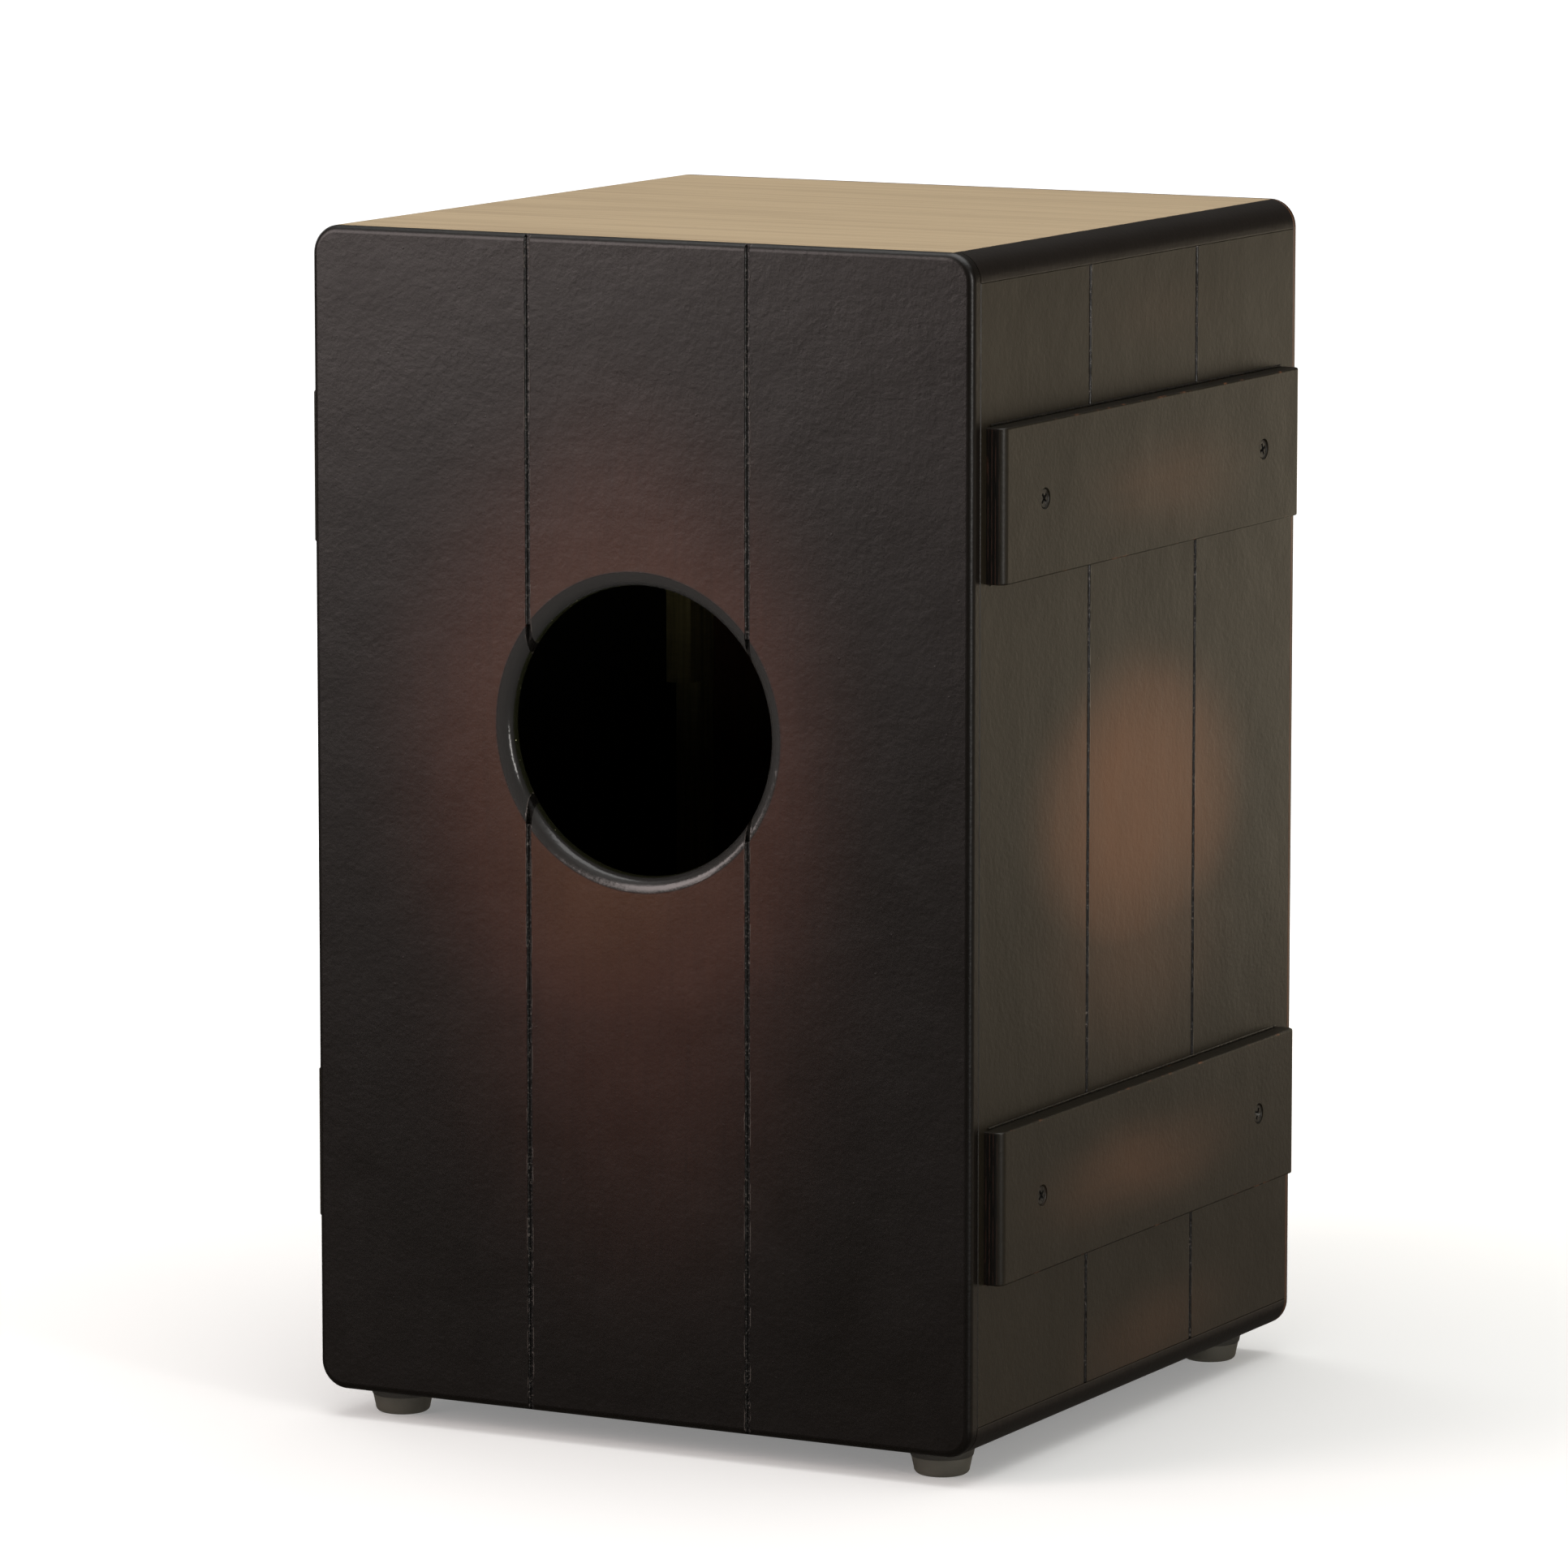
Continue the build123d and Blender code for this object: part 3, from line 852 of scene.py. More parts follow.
@dataclass(frozen=True)
class RawWood:
    """Sawn strip wood inside the box, stained dark by the sprayed interior."""

    name: str
    grain: WoodGrain

    def build(self) -> bpy.types.Material:
        """Make the material.

        Returns:
            The material.
        """
        material, graph, shader = new_shader(self.name)
        place = graph.position()
        saw = graph.noise(graph.stretch(place, (1.0, 1.0, 8.0)), 160.0, 2.0)
        colour = graph.scale_colour(self.grain.colour(graph, place), graph.spread(saw, 0.75, 1.15))
        normal = graph.bump(self.grain.relief(graph, place), 0.15 * MM, 0.6)
        normal = graph.bump(saw, 0.1 * MM, 0.4, normal)
        coat(graph, shader, colour, graph.spread(saw, 0.65, 0.85), normal, 0.25)
        return material


@dataclass(frozen=True)
class Rubber:
    """Moulded grey rubber with a dusty bloom, scuffed where it meets the floor."""

    name: str
    base: Triple
    bloom: Triple
    step_height: float
    scuff_height: float

    def build(self) -> bpy.types.Material:
        """Make the material.

        Returns:
            The material.
        """
        material, graph, shader = new_shader(self.name)
        place = graph.position()
        z = graph.split(place)[2]
        cloud = graph.noise(place, 130.0, 4.0, 0.6, 0.5)
        grit = graph.noise(place, 2600.0, 2.0)
        collar = graph.smooth(z, self.step_height - 0.3 * MM, self.step_height + 0.3 * MM)
        light = graph.math("MULTIPLY", graph.spread(cloud, 0.62, 1.0), graph.spread(collar, 1.0, 0.25))
        colour = graph.mix(light, self.base, self.bloom)
        low = graph.smooth(z, self.scuff_height, 0.0)
        scuff = graph.math("MULTIPLY", low, graph.smooth(grit, 0.45, 0.6))
        colour = graph.mix(scuff, colour, tuple(1.4 * c for c in self.bloom))
        rough = graph.spread(cloud, 0.38, 0.62)
        coat(graph, shader, colour, rough, graph.bump(grit, 0.04 * MM, 0.5), 0.45)
        return material


@dataclass(frozen=True)
class Metal:
    """Plated or oxidised metal with fine brushing, dull spots and rubbed high points."""

    name: str
    base: Triple
    stain: Triple
    roughness: float
    metallic: float = 1.0
    brushed: Axis = Axis.X

    def build(self) -> bpy.types.Material:
        """Make the material.

        Returns:
            The material.
        """
        material, graph, shader = new_shader(self.name)
        place = graph.position()
        brush = graph.noise(graph.stretch(place, tuple(0.04 if a is self.brushed else 1.0 for a in Axis)),
                            2400.0, 3.0, 0.6)
        spots = graph.noise(place, 420.0, 4.0, 0.6, 0.4)
        colour = graph.mix(graph.smooth(spots, 0.42, 0.7), self.base, self.stain)
        rough = graph.math("ADD", graph.spread(brush, self.roughness - 0.06, self.roughness + 0.08),
                           graph.math("MULTIPLY", graph.smooth(spots, 0.45, 0.7), 0.12))
        coat(graph, shader, colour, rough, graph.bump(brush, 0.015 * MM, 0.4))
        shader.inputs["Metallic"].default_value = self.metallic
        return material


@dataclass(frozen=True)
class Felt:
    """Pressed wool felt with loose fibres."""

    name: str
    base: Triple
    fleck: Triple

    def build(self) -> bpy.types.Material:
        """Make the material.

        Returns:
            The material.
        """
        material, graph, shader = new_shader(self.name)
        place = graph.position()
        fibres = graph.noise(place, 2200.0, 4.0, 0.7, 1.4)
        clumps = graph.noise(place, 240.0, 3.0)
        colour = graph.mix(graph.smooth(fibres, 0.45, 0.7), self.base, self.fleck)
        colour = graph.scale_colour(colour, graph.spread(clumps, 0.75, 1.2))
        coat(graph, shader, colour, 0.95, graph.bump(fibres, 0.3 * MM, 0.7), 0.15)
        shader.inputs["Sheen Weight"].default_value = 0.35
        return material


@dataclass(frozen=True)
class PooledLacquer:
    """Thick lacquer that pooled over torn fibres in a groove or along a joint."""

    name: str
    base: Triple = (0.0055, 0.0045, 0.004)
    chip: Triple = (0.085, 0.070, 0.060)

    def build(self) -> bpy.types.Material:
        """Make the material.

        Returns:
            The material.
        """
        material, graph, shader = new_shader(self.name)
        place = graph.position()
        chips = graph.noise(place, 900.0, 3.0, 0.6, 0.5)
        chipped = graph.smooth(chips, 0.56, 0.68)
        coat(graph, shader, graph.mix(chipped, self.base, self.chip),
             graph.spread(chips, 0.2, 0.5), graph.bump(chips, 0.2 * MM, 0.5))
        return material


@dataclass(frozen=True)
class Floor:
    """Pale matt studio floor."""

    name: str = "studio_floor"
    base: Triple = (0.86, 0.86, 0.85)
    lift: float = 0.22
    near: float = 0.35
    far: float = 1.25

    def build(self) -> bpy.types.Material:
        """Make the material.

        Returns:
            The material.
        """
        material, graph, shader = new_shader(self.name)
        place = graph.position()
        soft = graph.noise(place, 3.0, 2.0)
        away = graph.smooth(graph.vector_math("LENGTH", place).outputs["Value"], self.near, self.far)
        clouded = tuple(0.98 * c for c in self.base)
        coat(graph, shader, graph.mix(soft, self.base, clouded), 0.9, gloss=0.1)
        shader.inputs["Emission Color"].default_value = (1.0, 1.0, 1.0, 1.0)
        graph.feed(shader.inputs["Emission Strength"], graph.spread(away, self.lift, 1.0))
        return material


# --------------------------------------------------------------------------- mesh helpers


@dataclass(frozen=True)
class Island:
    """Box of one solid inside a CAD node."""

    low: Vector
    high: Vector

    @property
    def centre(self) -> Vector:
        """Middle of the box."""
        return (self.low + self.high) / 2

    @property
    def size(self) -> Vector:
        """Edge lengths of the box."""
        return self.high - self.low


def islands(node: str) -> list[Island]:
    """Find the separate solids of a CAD node.

    Args:
        node: Name of the CAD node.

    Returns:
        One island for each solid, sorted by place.
    """
    mesh = FRAME["nodes"][node].data
    points = np.empty(len(mesh.vertices) * 3)
    mesh.vertices.foreach_get("co", points)
    points = points.reshape(-1, 3)
    _, same = np.unique(np.round(points, 6), axis=0, return_inverse=True)
    same = same.reshape(-1)
    corners = np.empty(len(mesh.loops), dtype=np.int64)
    mesh.loops.foreach_get("vertex_index", corners)
    triangles = same[corners].reshape(-1, 3)
    label = np.arange(same.max() + 1)
    while True:
        lowest = label[triangles].min(axis=1)
        before = label.copy()
        for corner in range(3):
            np.minimum.at(label, triangles[:, corner], lowest)
        label = label[label]
        if np.array_equal(before, label):
            break
    found = []
    for value in np.unique(label):
        own = points[label[same] == value]
        found.append(Island(Vector(own.min(axis=0)), Vector(own.max(axis=0))))
    return sorted(found, key=lambda item: tuple(round(c, 4) for c in item.centre))


def finish_mesh(bm: bmesh.types.BMesh, name: str, sharp_degrees: float = 35.0) -> bpy.types.Mesh:
    """Clean a mesh, point its faces outward and mark its sharp edges.

    Args:
        bm: Mesh under construction; it is freed.
        name: Name of the result.
        sharp_degrees: Angle past which an edge stays sharp.

    Returns:
        The finished mesh.
    """
    bmesh.ops.remove_doubles(bm, verts=bm.verts, dist=1e-7)
    bmesh.ops.recalc_face_normals(bm, faces=bm.faces)
    for face in bm.faces:
        face.smooth = True
    for edge in bm.edges:
        if len(edge.link_faces) == 2:
            edge.smooth = edge.calc_face_angle(0.0) < math.radians(sharp_degrees)
    mesh = bpy.data.meshes.new(name)
    bm.to_mesh(mesh)
    bm.free()
    return mesh


def lathe(profile: Sequence[tuple[float, float]], steps: int,
          shape: Callable[[float, float, float], float] | None = None) -> bmesh.types.BMesh:
    """Turn a profile round the Z axis.

    Args:
        profile: Radius and height of each point, from one pole to the other.
        steps: Number of segments round the axis.
        shape: Optional change of the radius from (radius, height, angle).

    Returns:
        A closed turned mesh.
    """
    bm = bmesh.new()
    rings = []
    for radius, height in profile:
        ring = []
        for step in range(steps):
            angle = 2 * math.pi * step / steps
            reach = shape(radius, height, angle) if shape else radius
            ring.append(bm.verts.new((reach * math.cos(angle), reach * math.sin(angle), height)))
        rings.append(ring)
    for lower, upper in zip(rings, rings[1:]):
        for step in range(steps):
            after = (step + 1) % steps
            bm.faces.new((lower[step], lower[after], upper[after], upper[step]))
    bm.faces.new(rings[0])
    bm.faces.new(rings[-1])
    return bm


def arc_points(centre: tuple[float, float], radius: float, start: float, end: float,
               count: int) -> list[tuple[float, float]]:
    """Points on an arc of a profile, angles in degrees.

    Args:
        centre: Middle of the arc.
        radius: Radius of the arc.
        start: First angle in degrees.
        end: Last angle in degrees.
        count: Number of steps.

    Returns:
        Points of the arc, both ends included.
    """
    points = []
    for step in range(count + 1):
        angle = math.radians(start + (end - start) * step / count)
        points.append((centre[0] + radius * math.cos(angle), centre[1] + radius * math.sin(angle)))
    return points


def helper_object(name: str, mesh: bpy.types.Mesh) -> bpy.types.Object:
    """Link a temporary object to the scene.

    Args:
        name: Name of the object.
        mesh: Its mesh.

    Returns:
        The new object.
    """
    thing = bpy.data.objects.new(name, mesh)
    bpy.context.scene.collection.objects.link(thing)
    return thing


def evaluated_mesh(thing: bpy.types.Object, name: str) -> bpy.types.Mesh:
    """Plain mesh of an object with its modifiers applied.

    Args:
        thing: Object with modifiers.
        name: Name of the new mesh.

    Returns:
        The new mesh.
    """
    depsgraph = bpy.context.evaluated_depsgraph_get()
    mesh = bpy.data.meshes.new_from_object(thing.evaluated_get(depsgraph))
    mesh.name = name
    return mesh


def discard(thing: bpy.types.Object) -> None:
    """Remove a temporary object and its mesh.

    Args:
        thing: Object to remove.
    """
    mesh = thing.data
    bpy.data.objects.remove(thing)
    if mesh is not None and mesh.users == 0:
        bpy.data.meshes.remove(mesh)


def add_piece(name: str, mesh: bpy.types.Mesh, material: bpy.types.Material | None,
              stands_for: Iterable[str] = ()) -> bpy.types.Object:
    """Add a finished piece to the drum.

    Args:
        name: Name of the piece.
        mesh: Its mesh, already in place.
        material: Finish, or None where the mesh already carries it.
        stands_for: CAD nodes that the piece replaces.

    Returns:
        The new object.
    """
    piece = helper_object(name, mesh)
    if material is not None:
        mesh.materials.clear()
        mesh.materials.append(material)
    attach(piece, "root")
    nodes = list(stands_for)
    if nodes:
        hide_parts(*nodes)
    LOG.info("piece %s: %d faces, stands for %s", name, len(mesh.polygons), nodes or "nothing")
    return piece


def dress_node(node: str, material: bpy.types.Material) -> None:
    """Give a CAD node its finish.

    Args:
        node: Name of the CAD node.
        material: Its finish.
    """
    thing = FRAME["nodes"][node]
    if not thing.material_slots:
        thing.data.materials.append(material)
    for slot in thing.material_slots:
        slot.material = material
    LOG.info("node %s wears %s", node, material.name)


class PatternTree:
    """A Geometry Nodes tree with named inputs that makes one repeated pattern."""

    def __init__(self, name: str) -> None:
        """Start the tree with a geometry input and output.

        Args:
            name: Name of the tree.
        """
        self.tree = bpy.data.node_groups.new(name, "GeometryNodeTree")
        self.graph = Graph(self.tree)
        self.ids: dict[str, str] = {}
        self.values: dict[str, Any] = {}
        self.tree.interface.new_socket("Geometry", in_out="INPUT", socket_type="NodeSocketGeometry")
        self.tree.interface.new_socket("Geometry", in_out="OUTPUT", socket_type="NodeSocketGeometry")
        self.source = self.graph.add("NodeGroupInput")
        self.target = self.graph.add("NodeGroupOutput")

    def named_input(self, name: str, kind: str, value: Any) -> Socket:
        """Add a named input with the value that the modifier will use.

        Args:
            name: Label of the input.
            kind: Socket type without its NodeSocket prefix.
            value: Value for the modifier.

        Returns:
            The socket of the group input.
        """
        item = self.tree.interface.new_socket(name, in_out="INPUT", socket_type="NodeSocket" + kind)
        self.ids[name] = item.identifier
        self.values[item.identifier] = value
        return self.source.outputs[name]

    def end(self, geometry: Socket, material: Socket) -> None:
        """Finish the tree with Realize Instances and Set Material.

        Args:
            geometry: Finished pattern.
            material: Finish of the pattern.
        """
        real = self.graph.add("GeometryNodeRealizeInstances")
        paint = self.graph.add("GeometryNodeSetMaterial")
        self.graph.feed(real.inputs[0], geometry)
        self.graph.feed(paint.inputs["Geometry"], real.outputs[0])
        self.graph.feed(paint.inputs["Material"], material)
        self.graph.feed(self.target.inputs[0], paint.outputs[0])

    def run(self, name: str, base: bpy.types.Mesh) -> bpy.types.Mesh:
        """Run the tree on a base mesh.

        Args:
            name: Name of the resulting mesh.
            base: Mesh that the modifier stands on.

        Returns:
            Plain mesh with the pattern.
        """
        carrier = helper_object(name + "_carrier", base)
        modifier = carrier.modifiers.new("pattern", "NODES")
        modifier.node_group = self.tree
        for identifier, value in self.values.items():
            modifier[identifier] = value
        mesh = evaluated_mesh(carrier, name)
        carrier.modifiers.remove(modifier)
        discard(carrier)
        return mesh


def point_mesh(name: str, points: Iterable[Vector]) -> bpy.types.Mesh:
    """Mesh of loose points.

    Args:
        name: Name of the mesh.
        points: Places of the points.

    Returns:
        The new mesh.
    """
    mesh = bpy.data.meshes.new(name)
    mesh.from_pydata([tuple(p) for p in points], [], [])
    return mesh


# --------------------------------------------------------------------------- sub-assemblies


@dataclass
class CrossHeadScrew:
    """Wood screw with a cross recess, a thread and a soft-edged head."""

    head: float
    length: float
    form: HeadForm
    shank_share: float = 0.5
    head_height: float = 0.0
    pitch: float = 1.3 * MM
    steps: int = 20
    recess_share: float = 0.29
    recess_depth_share: float = 0.26
    arm_share: float = 0.075
    ring_width: float = 0.55 * MM
    ring_depth: float = 0.4 * MM
    thread_start_share: float = 0.55
    thread_rise: float = 0.22

    def thread(self, radius: float, height: float, angle: float) -> float:
        """Radius of the threaded shank at a height and angle.

        Args:
            radius: Radius of the shank.
            height: Height along the screw.
            angle: Angle round the screw.

        Returns:
            Radius with the thread on it.
        """
        if height > -self.head * self.thread_start_share:
            return radius
        turn = (height / self.pitch - angle / (2 * math.pi)) % 1.0
        return radius * (1.0 + self.thread_rise * max(0.0, 1.0 - abs(turn - 0.5) * 5.0) - 0.1)

    def profile(self) -> list[tuple[float, float]]:
        """Profile of the screw from its tip to the middle of its head.

        Returns:
            Radius and height of each point.
        """
        shank = self.head * self.shank_share / 2
        rim = self.head / 2
        tip_z = -self.length
        points = [(shank * 0.12, tip_z), (shank * 0.6, tip_z + self.head * 0.22)]
        neck = -(rim - shank)
        if self.form is HeadForm.PAN:
            neck = 0.0
        start = tip_z + self.head * 0.4
        rings = max(4, int((neck - start) / (self.pitch / 4)))
        points += [(shank, start + (neck - start) * i / rings) for i in range(rings)]
        points.append((shank, neck))
        if self.form is HeadForm.COUNTERSUNK:
            face = rim - self.ring_width
            points += [(rim - self.ring_depth - 0.02 * MM, -self.ring_depth), (face, -0.06 * MM),
                       (face - 0.1 * MM, 0.0), (rim * 0.3, 0.0)]
            return points
        top = self.head_height
        brim = top * 0.35
        points += [(rim, 0.0), (rim, brim)]
        points += [(rim * math.cos(math.radians(a)), brim + (top - brim) * math.sin(math.radians(a)))
                   for a in (20, 40, 60, 75)]
        points.append((rim * 0.12, top))
        return points

    def recess(self) -> bpy.types.Object:
        """Tapered cross that is cut out of the head.

        Returns:
            The cutter.
        """
        bm = bmesh.new()
        reach = self.head * self.recess_share
        half = self.head * self.arm_share
        top = self.head_height + 0.4 * MM
        bottom = self.head_height - self.head * self.recess_depth_share
        for turned in (False, True):
            corners = []
            for z, share in ((top, 1.15), (bottom, 0.35)):
                for sx, sy in ((-1, -1), (1, -1), (1, 1), (-1, 1)):
                    x, y = sx * reach * share, sy * half * (0.6 + 0.4 * share)
                    corners.append(bm.verts.new((-y, x, z) if turned else (x, y, z)))
            bm.faces.new(corners[0:4])
            bm.faces.new(corners[4:8][::-1])
            for i in range(4):
                j = (i + 1) % 4
                bm.faces.new((corners[i], corners[4 + i], corners[4 + j], corners[j]))
        bmesh.ops.recalc_face_normals(bm, faces=bm.faces)
        mesh = bpy.data.meshes.new("recess")
        bm.to_mesh(mesh)
        bm.free()
        return helper_object("recess_cutter", mesh)

    def build(self) -> bpy.types.Mesh:
        """Make the screw with its head top at z = 0, or its seat there for a pan head.

        Returns:
            The mesh of the screw.
        """
        turned = lathe(self.profile(), self.steps, self.thread)
        blank = helper_object("screw_blank", finish_mesh(turned, "blank"))
        cutter = self.recess()
        cut = blank.modifiers.new("cut", "BOOLEAN")
        cut.object = cutter
        cut.operation = "DIFFERENCE"
        cut.solver = "EXACT"
        cut.use_self = True
        mesh = evaluated_mesh(blank, "screw")
        discard(blank)
        discard(cutter)
        bm = bmesh.new()
        bm.from_mesh(mesh)
        bpy.data.meshes.remove(mesh)
        return finish_mesh(bm, "screw", 30.0)


@dataclass
class ScrewGroup:
    """All screws of one CAD node, set on their places by Geometry Nodes."""

    node: str
    facing: Facing
    slot: str
    form: HeadForm = HeadForm.COUNTERSUNK
    shank_share: float = 0.5
    head_height: float = 0.0
    seed: int = 1

    def build(self, material: bpy.types.Material) -> None:
        """Make the screws and let them stand for their node.

        Args:
            material: Finish of the piece.
        """
        out = self.facing.vector
        axis = max(range(3), key=lambda i: abs(out[i]))
        solids = islands(self.node)
        across = [i for i in range(3) if i != axis]
        head = max(solids[0].size[across[0]], solids[0].size[across[1]])
        length = solids[0].size[axis] - self.head_height
        places = []
        for solid in solids:
            place = solid.centre.copy()
            edge = solid.high[axis] if out[axis] > 0 else solid.low[axis]
            place[axis] = edge - out[axis] * self.head_height
            places.append(place)
        screw = CrossHeadScrew(head, length, self.form, self.shank_share, self.head_height)
        pattern = helper_object(self.node + "_pattern", screw.build())
        mesh = self.tree(pattern, material).run(self.node + "_set", point_mesh("places", places))
        discard(pattern)
        add_piece(self.node + "_set", mesh, None, [self.node])

    def tree(self, pattern: bpy.types.Object, material: bpy.types.Material) -> PatternTree:
        """Tree that puts one screw on each point, each turned its own way.

        Args:
            pattern: Object with the screw mesh.
            material: Finish of the screws.

        Returns:
            The tree, ready to run.
        """
        pattern_tree = PatternTree("screws_on_points")
        graph = pattern_tree.graph
        screw = pattern_tree.named_input("Screw", "Object", pattern)
        turn_out = self.facing.vector.to_track_quat("Z", "Y").to_euler()
        aim = pattern_tree.named_input("Aim", "Vector", tuple(turn_out))
        seed = pattern_tree.named_input("Turn seed", "Int", self.seed)
        finish = pattern_tree.named_input("Finish", "Material", material)
        info = graph.add("GeometryNodeObjectInfo")
        graph.feed(info.inputs["Object"], screw)
        place = graph.add("GeometryNodeInstanceOnPoints")
        graph.feed(place.inputs["Points"], pattern_tree.source.outputs[0])
        graph.feed(place.inputs["Instance"], info.outputs["Geometry"])
        graph.feed(place.inputs["Rotation"], aim)
        chance = graph.add("FunctionNodeRandomValue", data_type="FLOAT")
        minimum, maximum = [s for s in chance.inputs if s.enabled and s.name in ("Min", "Max")]
        minimum.default_value = 0.0
        maximum.default_value = math.pi / 2
        graph.feed(chance.inputs["Seed"], seed)
        turn = graph.add("ShaderNodeCombineXYZ")
        graph.feed(turn.inputs["Z"], next(s for s in chance.outputs if s.enabled))
        spin = graph.add("GeometryNodeRotateInstances")
        graph.feed(spin.inputs["Instances"], place.outputs[0])
        graph.feed(spin.inputs["Rotation"], turn.outputs[0])
        pattern_tree.end(spin.outputs[0], finish)
        return pattern_tree


@dataclass
class RubberFoot:
    """Tapered rubber foot with a collar, a soft rolled base and a screw bore."""

    node: str
    collar_height: float = 4.6 * MM
    collar_step: float = 0.12 * MM
    base_radius: float = 10.75 * MM
    base_roll: float = 2.4 * MM
    bore_radius: float = 6.0 * MM
    bore_depth: float = 6.0 * MM
    hole_radius: float = 2.1 * MM
    top_edge: float = 0.4 * MM
    steps: int = 72

    def build(self, material: bpy.types.Material) -> None:
        """Make the foot in place of its node.

        Args:
            material: Finish of the piece.
        """
        solid = islands(self.node)[0]
        top_radius = solid.size.x / 2
        height = solid.size.z
        slope = (top_radius - self.base_radius) / height
        step_z = height - self.collar_height
        step_r = self.base_radius + slope * step_z
        profile = [(self.hole_radius, height), (top_radius - self.top_edge, height)]
        profile += arc_points((top_radius - self.top_edge, height - self.top_edge), self.top_edge, 75, 0, 3)
        profile += [(step_r + self.collar_step + 0.2 * MM, step_z + 0.5 * MM)]
        profile += [(step_r + self.collar_step, step_z + 0.15 * MM), (step_r - 0.1 * MM, step_z)]
        profile += [(step_r - 0.15 * MM, step_z - 0.4 * MM)]
        roll = self.base_roll
        profile += arc_points((self.base_radius - roll + slope * roll, roll), roll, 0, -90, 8)
        profile += [(self.bore_radius + 0.5 * MM, 0.0), (self.bore_radius, 0.4 * MM)]
        profile += [(self.bore_radius, self.bore_depth), (self.hole_radius, self.bore_depth)]
        bm = lathe(profile, self.steps)
        caps = [face for face in bm.faces if len(face.verts) > 4]
        bmesh.ops.delete(bm, geom=caps, context="FACES_ONLY")
        self.close(bm, height)
        bmesh.ops.translate(bm, verts=bm.verts, vec=(solid.centre.x, solid.centre.y, solid.low.z))
        mesh = finish_mesh(bm, self.node, 40.0)
        add_piece(self.node + "_moulded", mesh, material, [self.node])

    def close(self, bm: bmesh.types.BMesh, height: float) -> None:
        """Join the top and the bore with the wall of the screw hole.

        Args:
            bm: Mesh of the foot.
            height: Height of the foot.
        """
        rings = {}
        for level in (height, self.bore_depth):
            ring = [v for v in bm.verts if abs(v.co.z - level) < 1e-7
                    and abs(v.co.xy.length - self.hole_radius) < 1e-6]
            rings[level] = sorted(ring, key=lambda v: math.atan2(v.co.y, v.co.x))
        upper, lower = rings[height], rings[self.bore_depth]
        for index in range(len(upper)):
            after = (index + 1) % len(upper)
            bm.faces.new((upper[index], upper[after], lower[after], lower[index]))


@dataclass
class LacquerSkin:
    """Rough skin of pooled lacquer: sunk in a plank groove, or a bead where the depth is negative."""

    name: str
    start: Vector
    end: Vector
    outward: Vector
    width: float
    depth: float
    roughness: float = 0.28 * MM
    cell: float = 0.8 * MM
    seed: float = 0.0

    @property
    def is_bead(self) -> bool:
        """Whether the skin stands proud of the face."""
        return self.depth < 0

    def build(self, material: bpy.types.Material) -> None:
        """Make the skin with Geometry Nodes.

        Args:
            material: Finish of the piece.
        """
        length = (self.end - self.start).length
        tree = PatternTree("lacquer_skin")
        graph = tree.graph
        span = tree.named_input("Length", "Float", length)
        width = tree.named_input("Width", "Float", self.width)
        sink = tree.named_input("Depth", "Float", self.depth)
        climb = tree.named_input("Wall climb", "Float", 1.0 if self.is_bead else 0.75)
        rough = tree.named_input("Roughness", "Float", self.roughness)
        seed = tree.named_input("Seed", "Float", self.seed)
        finish = tree.named_input("Finish", "Material", material)
        grid = graph.add("GeometryNodeMeshGrid")
        graph.feed(grid.inputs["Size X"], width)
        graph.feed(grid.inputs["Size Y"], span)
        grid.inputs["Vertices X"].default_value = 7
        grid.inputs["Vertices Y"].default_value = max(2, int(length / self.cell))
        spot = graph.add("GeometryNodeInputPosition").outputs[0]
        x, _, _ = graph.split(spot)
        across = graph.math("DIVIDE", graph.math("ABSOLUTE", x), graph.math("MULTIPLY", width, 0.5))
        wall = graph.math("POWER", across, 4.0)
        low = graph.math("MULTIPLY", sink, graph.math("SUBTRACT", graph.math("MULTIPLY", wall, climb), 1.0))
        noise = graph.add("ShaderNodeTexNoise", noise_dimensions="4D")
        graph.feed(noise.inputs["Vector"], graph.vector_math("MULTIPLY", spot, (1.0, 0.55, 1.0)).outputs[0])
        graph.feed(noise.inputs["W"], seed)
        noise.inputs["Scale"].default_value = 900.0
        noise.inputs["Detail"].default_value = 2.0
        ripple = graph.math("MULTIPLY", graph.math("SUBTRACT", noise.outputs[0], 0.5), rough)
        lift = graph.add("ShaderNodeCombineXYZ")
        graph.feed(lift.inputs["Z"], graph.math("ADD", low, graph.math("MULTIPLY", ripple, 3.0)))
        move = graph.add("GeometryNodeSetPosition")
        graph.feed(move.inputs["Geometry"], grid.outputs[0])
        graph.feed(move.inputs["Offset"], lift.outputs[0])
        soft = graph.add("GeometryNodeSetShadeSmooth")
        graph.feed(soft.inputs[0], move.outputs[0])
        tree.end(soft.outputs[0], finish)
        mesh = tree.run(self.name, point_mesh("seat", [Vector()]))
        self.place(mesh)
        add_piece(self.name, mesh, None)

    def place(self, mesh: bpy.types.Mesh) -> None:
        """Stand the flat strip in its place; a groove skin stays below the face.

        Args:
            mesh: Flat strip from the tree.
        """
        along = (self.end - self.start).normalized()
        side = along.cross(self.outward)
        middle = (self.start + self.end) / 2
        for vertex in mesh.vertices:
            x, y, z = vertex.co
            height = max(z, -0.03 * MM) if self.is_bead else min(max(z, -self.depth), -0.12 * MM)
            vertex.co = middle + side * x + along * y + self.outward * height
        mesh.update()


